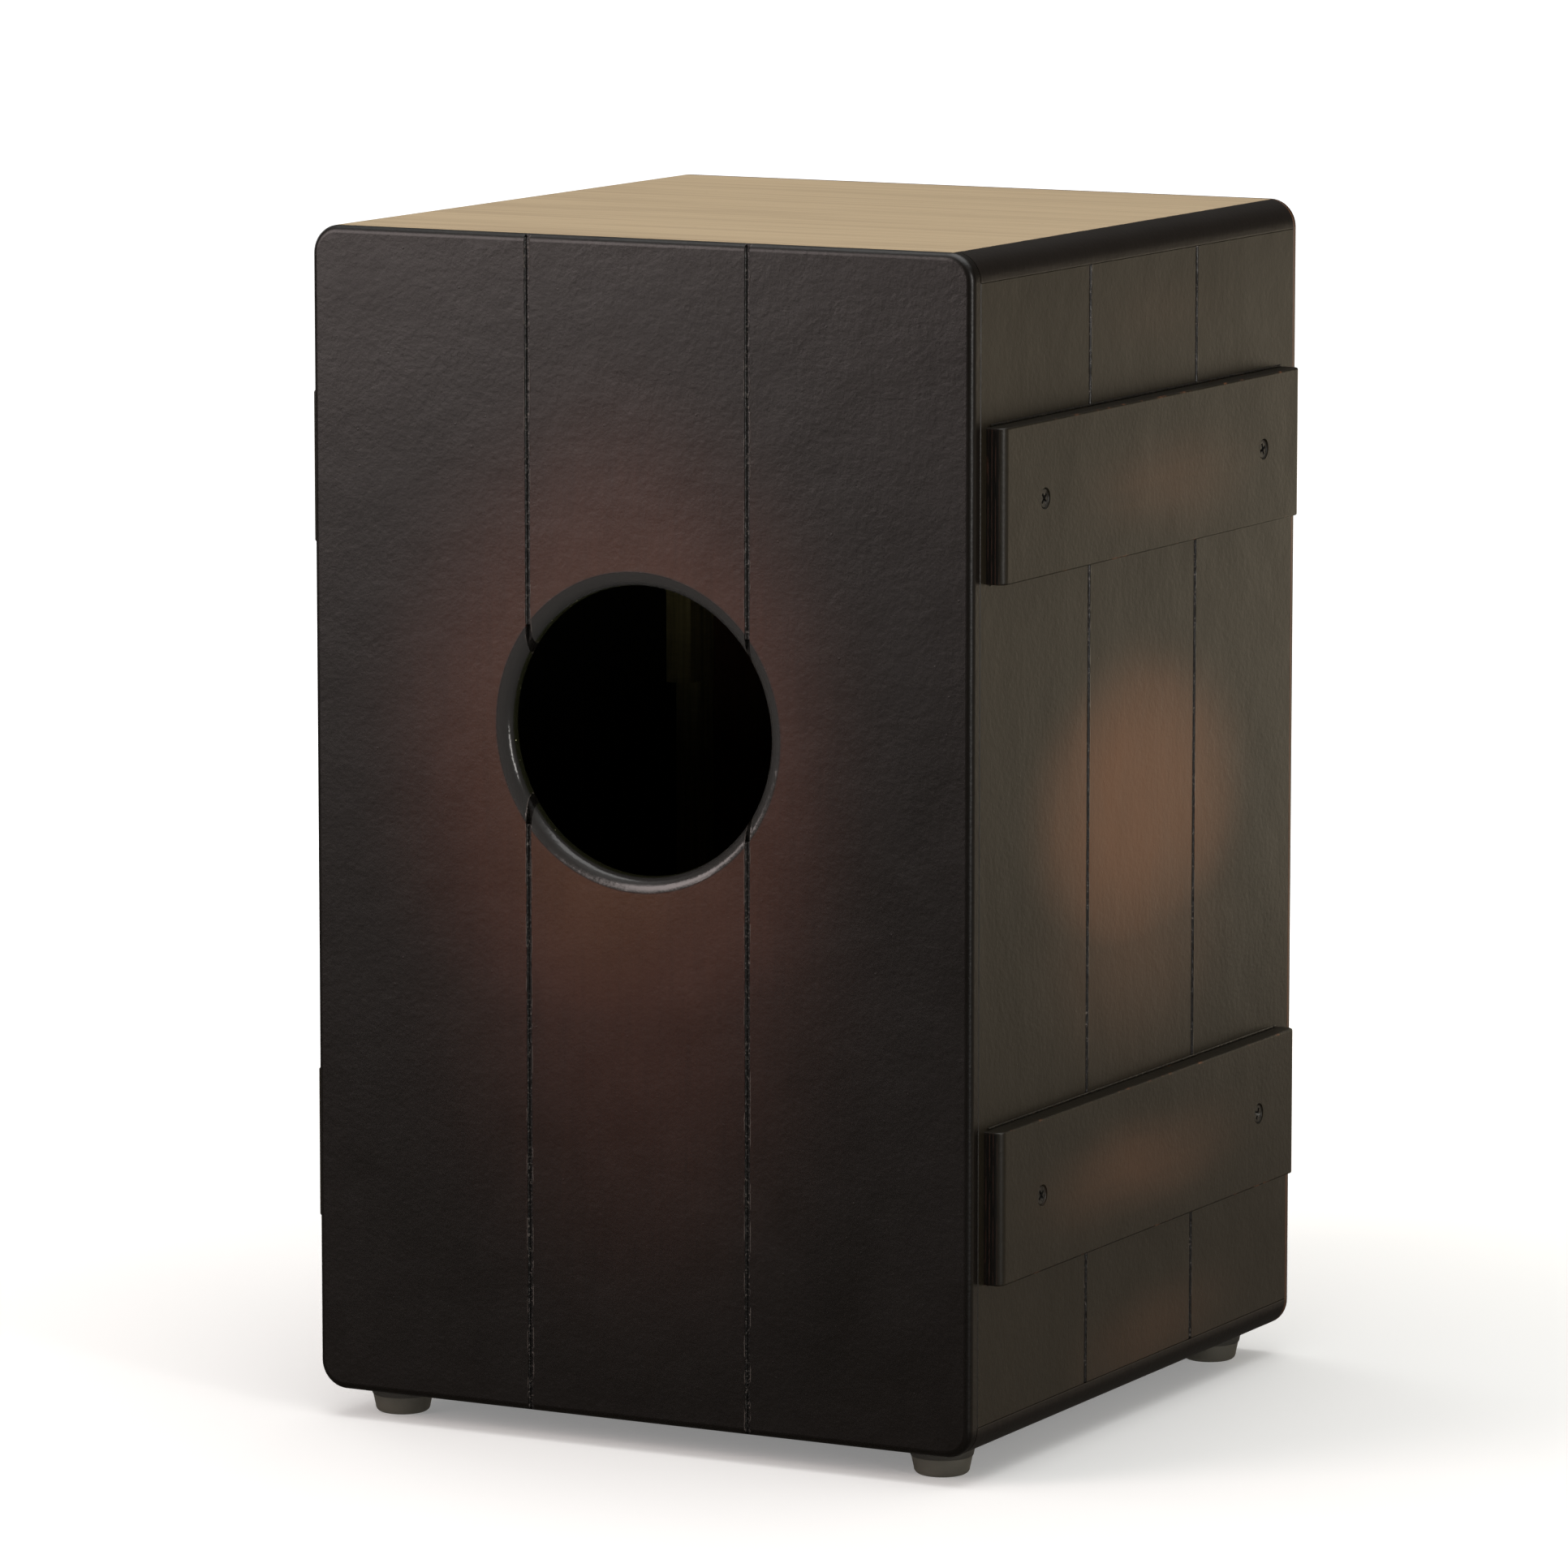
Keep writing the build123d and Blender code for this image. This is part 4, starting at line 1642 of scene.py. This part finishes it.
@dataclass
class SnareFan:
    """Set of curled snare wires between the end plate and the free-end strip."""

    side: str
    wire_radius: float = 0.2 * MM
    coil_pitch: float = 1.3 * MM
    turn_steps: int = 10
    ring_steps: int = 5

    def build(self, material: bpy.types.Material) -> None:
        """Make the coils with Geometry Nodes in place of the plain rods.

        Args:
            material: Finish of the piece.
        """
        node = f"snare_wires_{self.side}"
        rods = islands(node)
        lean = rods[0].size.x - rods[0].size.y
        rise = rods[0].size.z
        sign = 1.0 if self.side == "right" else -1.0
        diameter = rods[0].size.y
        length = math.hypot(lean, rise) - 2 * self.wire_radius
        angle = sign * math.atan2(lean, rise)
        bases = [Vector((r.centre.x - sign * lean / 2, r.centre.y, r.low.z + 0.4 * MM)) for r in rods]
        tree = PatternTree("snare_coils")
        graph = tree.graph
        turns = tree.named_input("Turns", "Float", length / self.coil_pitch)
        height = tree.named_input("Length", "Float", length)
        radius = tree.named_input("Coil radius", "Float", diameter / 2 - self.wire_radius)
        gauge = tree.named_input("Wire radius", "Float", self.wire_radius)
        tilt = tree.named_input("Tilt", "Vector", (0.0, angle, 0.0))
        finish = tree.named_input("Finish", "Material", material)
        coil = graph.add("GeometryNodeCurveSpiral")
        coil.inputs["Resolution"].default_value = self.turn_steps
        graph.feed(coil.inputs["Rotations"], turns)
        graph.feed(coil.inputs["Start Radius"], radius)
        graph.feed(coil.inputs["End Radius"], radius)
        graph.feed(coil.inputs["Height"], height)
        section = graph.add("GeometryNodeCurvePrimitiveCircle")
        section.inputs["Resolution"].default_value = self.ring_steps
        graph.feed(section.inputs["Radius"], gauge)
        sweep = graph.add("GeometryNodeCurveToMesh")
        graph.feed(sweep.inputs["Curve"], coil.outputs[0])
        graph.feed(sweep.inputs["Profile Curve"], section.outputs[0])
        sweep.inputs["Fill Caps"].default_value = True
        place = graph.add("GeometryNodeInstanceOnPoints")
        graph.feed(place.inputs["Points"], tree.source.outputs[0])
        graph.feed(place.inputs["Instance"], sweep.outputs[0])
        graph.feed(place.inputs["Rotation"], tilt)
        tree.end(place.outputs[0], finish)
        mesh = tree.run(f"snare_coils_{self.side}", point_mesh("bases", bases))
        bm = bmesh.new()
        bm.from_mesh(mesh)
        bmesh.ops.recalc_face_normals(bm, faces=bm.faces)
        for face in bm.faces:
            face.smooth = True
        bm.to_mesh(mesh)
        bm.free()
        add_piece(f"snare_coils_{self.side}", mesh, None, [node])


@dataclass
class FeltPad:
    """Soft damper pad with rolled edges and an uneven nap."""

    side: str
    cells: int = 26
    nap: float = 0.22 * MM
    fit: float = 0.985
    squareness: int = 14
    edge_drop: float = 0.3
    waist: float = 0.02
    fill: float = 0.9

    def build(self, material: bpy.types.Material) -> None:
        """Make the pad in place of its plain solid.

        Args:
            material: Finish of the piece.
        """
        node = f"damper_pad_{self.side}"
        low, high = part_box(node)
        middle = (low + high) / 2
        half = (high - low) / 2 * self.fit
        bm = bmesh.new()
        bmesh.ops.create_cube(bm, size=2.0)
        bmesh.ops.subdivide_edges(bm, edges=bm.edges, cuts=self.cells, use_grid_fill=True)
        draw = np.random.default_rng(11 if self.side == "left" else 12)
        for vertex in bm.verts:
            x, y, z = vertex.co
            reach = (abs(x) ** self.squareness + abs(z) ** self.squareness) ** (1 / self.squareness)
            crown = 1.0 - self.edge_drop * reach ** 8
            fuzz = float(draw.uniform(-self.nap, 0.0))
            thick = y * half.y * crown
            if y < 0:
                thick -= fuzz * 0.2
            else:
                thick += fuzz
            shrink = 1.0 - self.waist * abs(y) ** 2
            vertex.co = (middle.x + x * half.x * shrink, middle.y + thick, middle.z + z * half.z * shrink)
        piece = add_piece(f"felt_pad_{self.side}", finish_mesh(bm, node, 60.0), material, [node])


@dataclass
class Shell:
    """Wooden box: panels, tapa and the bare seat field."""

    body_low: float = 0.0
    seat_top: float = 0.0
    half_width: float = 0.0
    half_depth: float = 0.0
    corner_radius: float = 11.5 * MM
    back_roundover: float = 3.0 * MM
    panel: float = 12.0 * MM
    hole_rim_radius: float = 64.75 * MM
    back_groove_reach: float = 50.0 * MM
    back_groove_width: float = 2.3 * MM
    back_groove_fill: float = 1.25 * MM
    side_groove_first: float = 104.0 * MM
    side_groove_pitch: float = 99.0 * MM
    side_groove_width: float = 2.6 * MM
    side_groove_fill: float = 0.8 * MM
    hole_drop: float = 198.0 * MM
    seat_wood: WoodGrain = field(default_factory=lambda: WoodGrain(
        Axis.X, light=(0.455, 0.352, 0.222), dark=(0.395, 0.302, 0.190), streaks=190.0, contrast=0.32))

    def __post_init__(self) -> None:
        """Read the outline from the frame."""
        low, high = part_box("back_panel")
        self.body_low, self.seat_top = low.z, high.z
        self.half_width = high.x
        self.half_depth = high.y

    @property
    def seat(self) -> SeatZone:
        """Bare field inside the lacquered border."""
        return SeatZone(self.seat_top, self.half_width - self.corner_radius + 1.2 * MM,
                        self.half_depth - self.back_roundover)

    @property
    def hole_centre(self) -> Vector:
        """Middle of the sound hole on the back face."""
        return Vector((0.0, self.half_depth, self.seat_top - self.hole_drop))

    def level(self, share: float) -> float:
        """Height at a share of the body height."""
        return self.body_low + share * (self.seat_top - self.body_low)

    def back_finish(self) -> Lacquer:
        """Lacquer of the back panel, with a tall red-brown burst under and round the hole.

        Returns:
            The finish.
        """
        wide = self.half_width
        bursts = (
            Burst((0.03 * wide, self.half_depth, self.level(0.44)), (1.0 * wide, 1.0, 0.235), 0.42, 0.0),
            Burst((0.06 * wide, self.half_depth, self.level(0.56)), (0.98 * wide, 1.0, 0.205), 0.80, 0.0),
            Burst((0.1 * wide, self.half_depth, self.level(0.50)), (0.62 * wide, 1.0, 0.130), 1.0, 0.0),
        )
        return Lacquer("burst_lacquer_back", (0.0034, 0.0021, 0.0011), (0.054, 0.0175, 0.0046), bursts,
                       roughness=0.36, gloss=0.42, grain=Axis.Z, seat=self.seat, seat_wood=self.seat_wood,
                       inner_limit=(Axis.Y, -1.0, self.half_depth - 6.9 * MM),
                       bare_rim=(tuple(self.hole_centre), self.hole_rim_radius),
                       grooves=(Axis.X, (-self.back_groove_reach, self.back_groove_reach),
                                self.back_groove_width / 2),
                       arris=((-self.half_width, -self.half_depth, self.body_low),
                              (self.half_width, self.half_depth, self.seat_top)))

    def side_finish(self, sign: float) -> Lacquer:
        """Lacquer of one side, with an oval burst between the battens.

        Args:
            sign: Sign of the side on the X axis.

        Returns:
            The finish.
        """
        x = sign * self.half_width
        bursts = (
            Burst((x, -0.004, self.level(0.505)), (1.0, 0.128, 0.086), 1.0, 0.08),
            Burst((x, -0.004, self.level(0.40)), (1.0, 0.135, 0.085), 0.34, 0.0),
            Burst((x, -0.015, self.level(0.93)), (1.0, 0.105, 0.030), 0.12, 0.0),
            Burst((x, -0.020, self.level(0.045)), (1.0, 0.125, 0.034), 0.26, 0.0),
        )
        inner = self.half_width - self.panel + 0.5 * MM
        first = self.half_depth - self.side_groove_first
        # The base shade (0.012, 0.0088, 0.0040) is lighter and more olive than the back's: partly the
        # lacquer's own colour, partly painted olive sheen from the warm light on the sides.
        return Lacquer(f"burst_lacquer_{'right' if sign > 0 else 'left'}", (0.012, 0.0088, 0.0040),
                       (0.120, 0.048, 0.019), bursts, roughness=0.42, gloss=0.42, grain=Axis.Z,
                       inner_limit=(Axis.X, -inner, inner), fringe=(0.060, 0.026, 0.011),
                       grooves=(Axis.Y, (first, first - self.side_groove_pitch), self.side_groove_width / 2))

    def deck_finish(self) -> Lacquer:
        """Lacquer of the top and bottom boards, with the bare seat."""
        return Lacquer("deck_lacquer", (0.0085, 0.006, 0.0045), (0.05, 0.02, 0.01), (), roughness=0.36,
                       gloss=0.4, grain=Axis.X, seat=self.seat, seat_wood=self.seat_wood)

    def tapa_finish(self) -> Veneer:
        """Figured veneer of the playing face.

        Returns:
            The finish.
        """
        return Veneer("tapa_veneer_brown", (0.185, 0.070, 0.026), (0.075, 0.026, 0.010),
                      (0.0085, 0.0045, 0.0035), self.half_width, self.body_low, self.seat_top, 0.52,
                      self.seat, self.seat_wood)

    def dress(self) -> None:
        """Give every board its finish."""
        dress_node("back_panel", self.back_finish().build())
        dress_node("side_panel_left", self.side_finish(-1.0).build())
        dress_node("side_panel_right", self.side_finish(1.0).build())
        deck = self.deck_finish().build()
        dress_node("top_panel", deck)
        dress_node("bottom_panel", deck)
        dress_node("tapa", self.tapa_finish().build())

    def line_grooves(self) -> None:
        """Lay the rough lining in each plank groove."""
        material = PooledLacquer("groove_black").build()
        back = Vector((0.0, 1.0, 0.0))
        hole = self.hole_centre
        reach = math.sqrt(self.hole_rim_radius ** 2 - self.back_groove_reach ** 2) - 0.5 * MM
        ends = ((self.body_low + 1.5 * MM, hole.z - reach), (hole.z + reach, self.seat_top - 1.5 * MM))
        for side, sign in (("left", -1.0), ("right", 1.0)):
            for part, (low, high) in zip(("lower", "upper"), ends):
                x = sign * self.back_groove_reach
                LacquerSkin(f"back_groove_{side}_{part}", Vector((x, self.half_depth, low)),
                             Vector((x, self.half_depth, high)), back, self.back_groove_width,
                             self.back_groove_fill, seed=sign + low * 9).build(material)
            for index in range(2):
                y = self.half_depth - self.side_groove_first - index * self.side_groove_pitch
                low = self.body_low + self.panel + 0.3 * MM
                high = self.seat_top - self.panel - 0.3 * MM
                x = sign * self.half_width
                LacquerSkin(f"side_groove_{side}_{index + 1}", Vector((x, y, low)), Vector((x, y, high)),
                             Vector((sign, 0.0, 0.0)), self.side_groove_width, self.side_groove_fill,
                             seed=sign * 3 + index).build(material)


@dataclass
class Battens:
    """Four boards across the sides, with their screws."""

    end_radius: float = 3.5 * MM
    face_reach: float = 150.0 * MM
    bead_width: float = 1.1 * MM
    bead_height: float = 0.35 * MM

    def dress(self, screw_finish: bpy.types.Material) -> None:
        """Dress each batten and set its screws.

        Args:
            screw_finish: Finish of the screws.
        """
        for side, sign in (("left", -1.0), ("right", 1.0)):
            for index, level in enumerate(("upper", "lower")):
                node = f"batten_{side}_{level}"
                low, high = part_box(node)
                middle = (low + high) / 2
                lower = level == "lower"
                burst = Burst((sign * high.x, 0.012 if lower else -0.012, middle.z - 3 * MM),
                              (1.0, 0.150 if lower else 0.125, 0.036), 0.46 if lower else 0.36, 0.0)
                # The same base shade as the sides: partly the lacquer's own colour, partly painted olive
                # sheen.
                finish = Lacquer(f"batten_lacquer_{side}_{level}", (0.012, 0.0088, 0.0040),
                                 (0.120, 0.048, 0.019), (burst,), roughness=0.42, gloss=0.42, grain=Axis.Y,
                                 ply=(Axis.X, Axis.Y, high.y - 0.35 * MM), fringe=(0.060, 0.026, 0.011),
                                 arris=(tuple(low), tuple(high)))
                dress_node(node, finish.build())
                self.seal(side, level, sign, low, high)
                facing = Facing.RIGHT if sign > 0 else Facing.LEFT
                ScrewGroup(f"batten_screws_{side}_{level}", facing, "black_screw_steel",
                           shank_share=0.49, seed=3 + index * 5 + int(sign)).build(screw_finish)

    def seal(self, side: str, level: str, sign: float, low: Vector, high: Vector) -> None:
        """Run a rough bead of lacquer along the top and bottom joints of a batten; the top bead's colour is
        darkened as painted shade and the bottom bead's is lightened as a painted highlight.

        Args:
            side: Name of the side.
            level: Name of the batten level.
            sign: Sign of the side on the X axis.
            low: Low corner of the batten.
            high: High corner of the batten.
        """
        face = sign * self.face_reach
        inset = self.end_radius
        # The top bead colours are dark as painted shade above the batten; the bottom bead colours are pale
        # as a painted highlight along its lower edge.
        pooled = ((0.004, 0.0035, 0.0025), (0.050, 0.040, 0.028))
        bottom_painted_highlight = ((0.045, 0.036, 0.024), (0.085, 0.066, 0.045))
        for edge, z, colours in (("top", high.z + self.bead_width / 2, pooled),
                                 ("bottom", low.z - self.bead_width / 3, bottom_painted_highlight)):
            material = PooledLacquer(f"batten_bead_{side}_{level}_{edge}", *colours).build()
            LacquerSkin(f"batten_bead_{side}_{level}_{edge}", Vector((face, low.y + inset, z)),
                        Vector((face, high.y - inset, z)), Vector((sign, 0.0, 0.0)), self.bead_width,
                        -self.bead_height, roughness=0.16 * MM, seed=sign + z * 7).build(material)


@dataclass
class Interior:
    """Glue strips and the snare holder inside the box."""

    def dress(self, metal: bpy.types.Material) -> None:
        """Dress the strips and make the snares.

        Args:
            metal: Finish of the fittings.
        """
        grains = {
            Axis.Z: ["cleat_front_left", "cleat_front_right", "cleat_back_left", "cleat_back_right",
                     "snare_block_left", "snare_block_right"],
            Axis.X: ["cleat_front_top", "cleat_front_bottom", "cleat_back_top", "cleat_back_bottom",
                     "snare_bar"],
        }
        for axis, nodes in grains.items():
            wood = RawWood(f"strip_wood_{axis.name.lower()}", WoodGrain(
                axis, light=(0.34, 0.28, 0.11), dark=(0.12, 0.095, 0.036), streaks=480.0, contrast=0.9))
            material = wood.build()
            for node in nodes:
                dress_node(node, material)
        brass = Metal("dull_brass", (0.55, 0.40, 0.17), (0.25, 0.16, 0.07), 0.38).build()
        wire = Metal("spring_wire", (0.50, 0.50, 0.50), (0.22, 0.20, 0.18), 0.3, brushed=Axis.Z).build()
        felt = Felt("charcoal_felt", (0.018, 0.018, 0.02), (0.06, 0.06, 0.064)).build()
        for side in ("left", "right"):
            dress_node(f"snare_joint_plate_{side}", metal)
            dress_node(f"snare_end_plate_{side}", brass)
            dress_node(f"snare_end_strip_{side}", brass)
            SnareFan(side).build(wire)
            FeltPad(side).build(felt)
        ScrewGroup("snare_joint_screws", Facing.BACK, "zinc_steel", shank_share=0.56, seed=21).build(metal)
        ScrewGroup("snare_plate_screws", Facing.FRONT, "zinc_steel", shank_share=0.56, seed=22).build(metal)


@dataclass
class Feet:
    """Four rubber feet with their washers and screws."""

    head_height: float = 2.6 * MM

    def dress(self, metal: bpy.types.Material) -> None:
        """Make the feet and set their screws.

        Args:
            metal: Finish of the fittings.
        """
        rubber = Rubber("grey_rubber", (0.024, 0.022, 0.019), (0.105, 0.097, 0.076),
                        step_height=7.4 * MM, scuff_height=1.6 * MM).build()
        for end in ("front", "back"):
            for side in ("left", "right"):
                RubberFoot(f"foot_{end}_{side}").build(rubber)
        dress_node("foot_washers", metal)
        ScrewGroup("foot_screws", Facing.DOWN, "zinc_steel", HeadForm.PAN, 0.5, self.head_height,
                   seed=31).build(metal)


# --------------------------------------------------------------------------- studio


@dataclass(frozen=True)
class SoftBox:
    """Large soft lamp that is not seen by the camera."""

    name: str
    place: Triple
    aim: Triple
    size: tuple[float, float]
    radiance: float
    colour: Triple = (1.0, 1.0, 1.0)

    def build(self) -> None:
        """Add the lamp; its power follows from its radiance and area."""
        lamp = bpy.data.lights.new(self.name, "AREA")
        lamp.shape = "RECTANGLE"
        lamp.size, lamp.size_y = self.size
        lamp.energy = self.radiance * math.pi * self.size[0] * self.size[1]
        lamp.color = self.colour
        thing = bpy.data.objects.new(self.name, lamp)
        thing.location = self.place
        aim = Vector(self.aim) - Vector(self.place)
        thing.rotation_euler = aim.to_track_quat("-Z", "Y").to_euler()
        thing.visible_camera = False
        bpy.context.scene.collection.objects.link(thing)


@dataclass
class Studio:
    """Pale floor, soft lamps, a dim surround and the camera."""

    azimuth: float = 208.0
    elevation: float = 8.33
    distance: float = 3.73
    lens: float = 206.2
    aim_right: float = -0.0116
    aim_up: float = 0.0079
    floor_radius: float = 30.0
    room_colour: Triple = (0.050, 0.046, 0.040)
    dome_colour: Triple = (0.60, 0.595, 0.58)
    rear_colour: Triple = (0.42, 0.350, 0.272)

    def floor(self) -> None:
        """Lay the floor."""
        bm = bmesh.new()
        bmesh.ops.create_circle(bm, cap_ends=True, segments=96, radius=self.floor_radius)
        floor = helper_object("studio_floor", finish_mesh(bm, "studio_floor"))
        floor.data.materials.append(Floor().build())
        floor.visible_glossy = False

    def surround(self) -> None:
        """White surround for the camera, and a dim one with a soft horizon for the light."""
        world = bpy.data.worlds.new("studio_surround")
        bpy.context.scene.world = world
        world.use_nodes = True
        tree = world.node_tree
        tree.nodes.clear()
        graph = Graph(tree)
        way = graph.add("ShaderNodeTexCoord").outputs["Generated"]
        x, y, z = graph.split(way)
        toward = graph.math("ADD", graph.math("MULTIPLY", y, -0.87), graph.math("MULTIPLY", x, -0.48))
        rear = graph.smooth(toward, 0.2, 0.9)
        band = graph.math("MULTIPLY", graph.smooth(z, -0.33, -0.17), graph.smooth(z, 0.06, -0.10))
        dome = graph.smooth(z, 0.50, 0.85)
        general = graph.mix(dome, self.room_colour, self.dome_colour)
        dim = graph.add("ShaderNodeBackground")
        warm = graph.mix(graph.math("MULTIPLY", band, rear), general, self.rear_colour)
        graph.feed(dim.inputs["Color"], warm)
        dim.inputs["Strength"].default_value = 1.0
        white = graph.add("ShaderNodeBackground")
        white.inputs["Color"].default_value = (1.0, 1.0, 1.0, 1.0)
        ray = graph.add("ShaderNodeLightPath")
        blend = graph.add("ShaderNodeMixShader")
        graph.feed(blend.inputs[0], ray.outputs["Is Camera Ray"])
        graph.feed(blend.inputs[1], dim.outputs[0])
        graph.feed(blend.inputs[2], white.outputs[0])
        output = graph.add("ShaderNodeOutputWorld")
        graph.feed(output.inputs[0], blend.outputs[0])

    def lamps(self) -> None:
        """Place the soft lamps."""
        boxes = (
            SoftBox("key_box", (1.25, 1.75, 0.94), (0.0, 0.0, 0.5), (1.1, 1.3), 4.2, (1.0, 0.86, 0.83)),
            SoftBox("key_slim", (1.0, 1.35, 1.02), (0.0, 0.0, 0.5), (0.6, 1.1), 2.4, (1.0, 0.87, 0.86)),
            SoftBox("over_box", (-0.2, 0.1, 2.5), (0.0, 0.0, 0.0), (2.2, 2.2), 2.3),
            SoftBox("rear_box", (-0.16, -1.0, 0.22), (-0.12, 0.0, 0.22), (0.6, 0.42), 1.55,
                    (1.0, 0.87, 0.64)),
            SoftBox("rim_strip", (-2.0, 0.95, 0.65), (0.0, 0.15, 0.3), (0.28, 1.0), 15.0, (1.0, 0.97, 0.93)),
            SoftBox("front_fill", (2.4, -1.3, 1.0), (0.0, 0.0, 0.25), (1.3, 1.3), 2.0),
        )
        for box in boxes:
            box.build()

    def camera(self) -> None:
        """Stand the camera on a sphere round the middle of the drum."""
        low, high = (Vector(corner) for corner in CAD_BOUNDS)
        centre = (low + high) / 2
        a, e = math.radians(self.azimuth), math.radians(self.elevation)
        back = Vector((math.sin(a) * math.cos(e), -math.cos(a) * math.cos(e), math.sin(e)))
        rotation = back.to_track_quat("Z", "Y")
        right = rotation @ Vector((1.0, 0.0, 0.0))
        up = rotation @ Vector((0.0, 1.0, 0.0))
        data = bpy.data.cameras.new("studio_camera")
        data.lens = self.lens
        data.sensor_width = 36.0
        data.clip_end = 100.0
        thing = bpy.data.objects.new("studio_camera", data)
        thing.location = centre + back * self.distance + right * self.aim_right + up * self.aim_up
        thing.rotation_euler = rotation.to_euler()
        bpy.context.scene.collection.objects.link(thing)
        bpy.context.scene.camera = thing

    def build(self) -> None:
        """Set up the whole studio."""
        self.floor()
        self.surround()
        self.lamps()
        self.camera()
        bpy.context.scene.view_settings.view_transform = "Standard"


def main() -> None:
    """Build the drum, sub-assembly by sub-assembly, and the studio round it."""
    logging.basicConfig(level=logging.INFO, format="%(name)s: %(message)s")
    black = Metal("black_oxide", (0.046, 0.044, 0.040), (0.020, 0.018, 0.016), 0.36, 0.75).build()
    zinc = Metal("zinc_plate", (0.62, 0.63, 0.65), (0.38, 0.38, 0.38), 0.3).build()
    shell = Shell()
    shell.dress()
    shell.line_grooves()
    Battens().dress(black)
    Interior().dress(zinc)
    Feet().dress(zinc)
    ScrewGroup("tapa_screws", Facing.FRONT, "black_screw_steel", shank_share=0.53, seed=9).build(black)
    Studio().build()


if __name__ == "__main__":
    main()
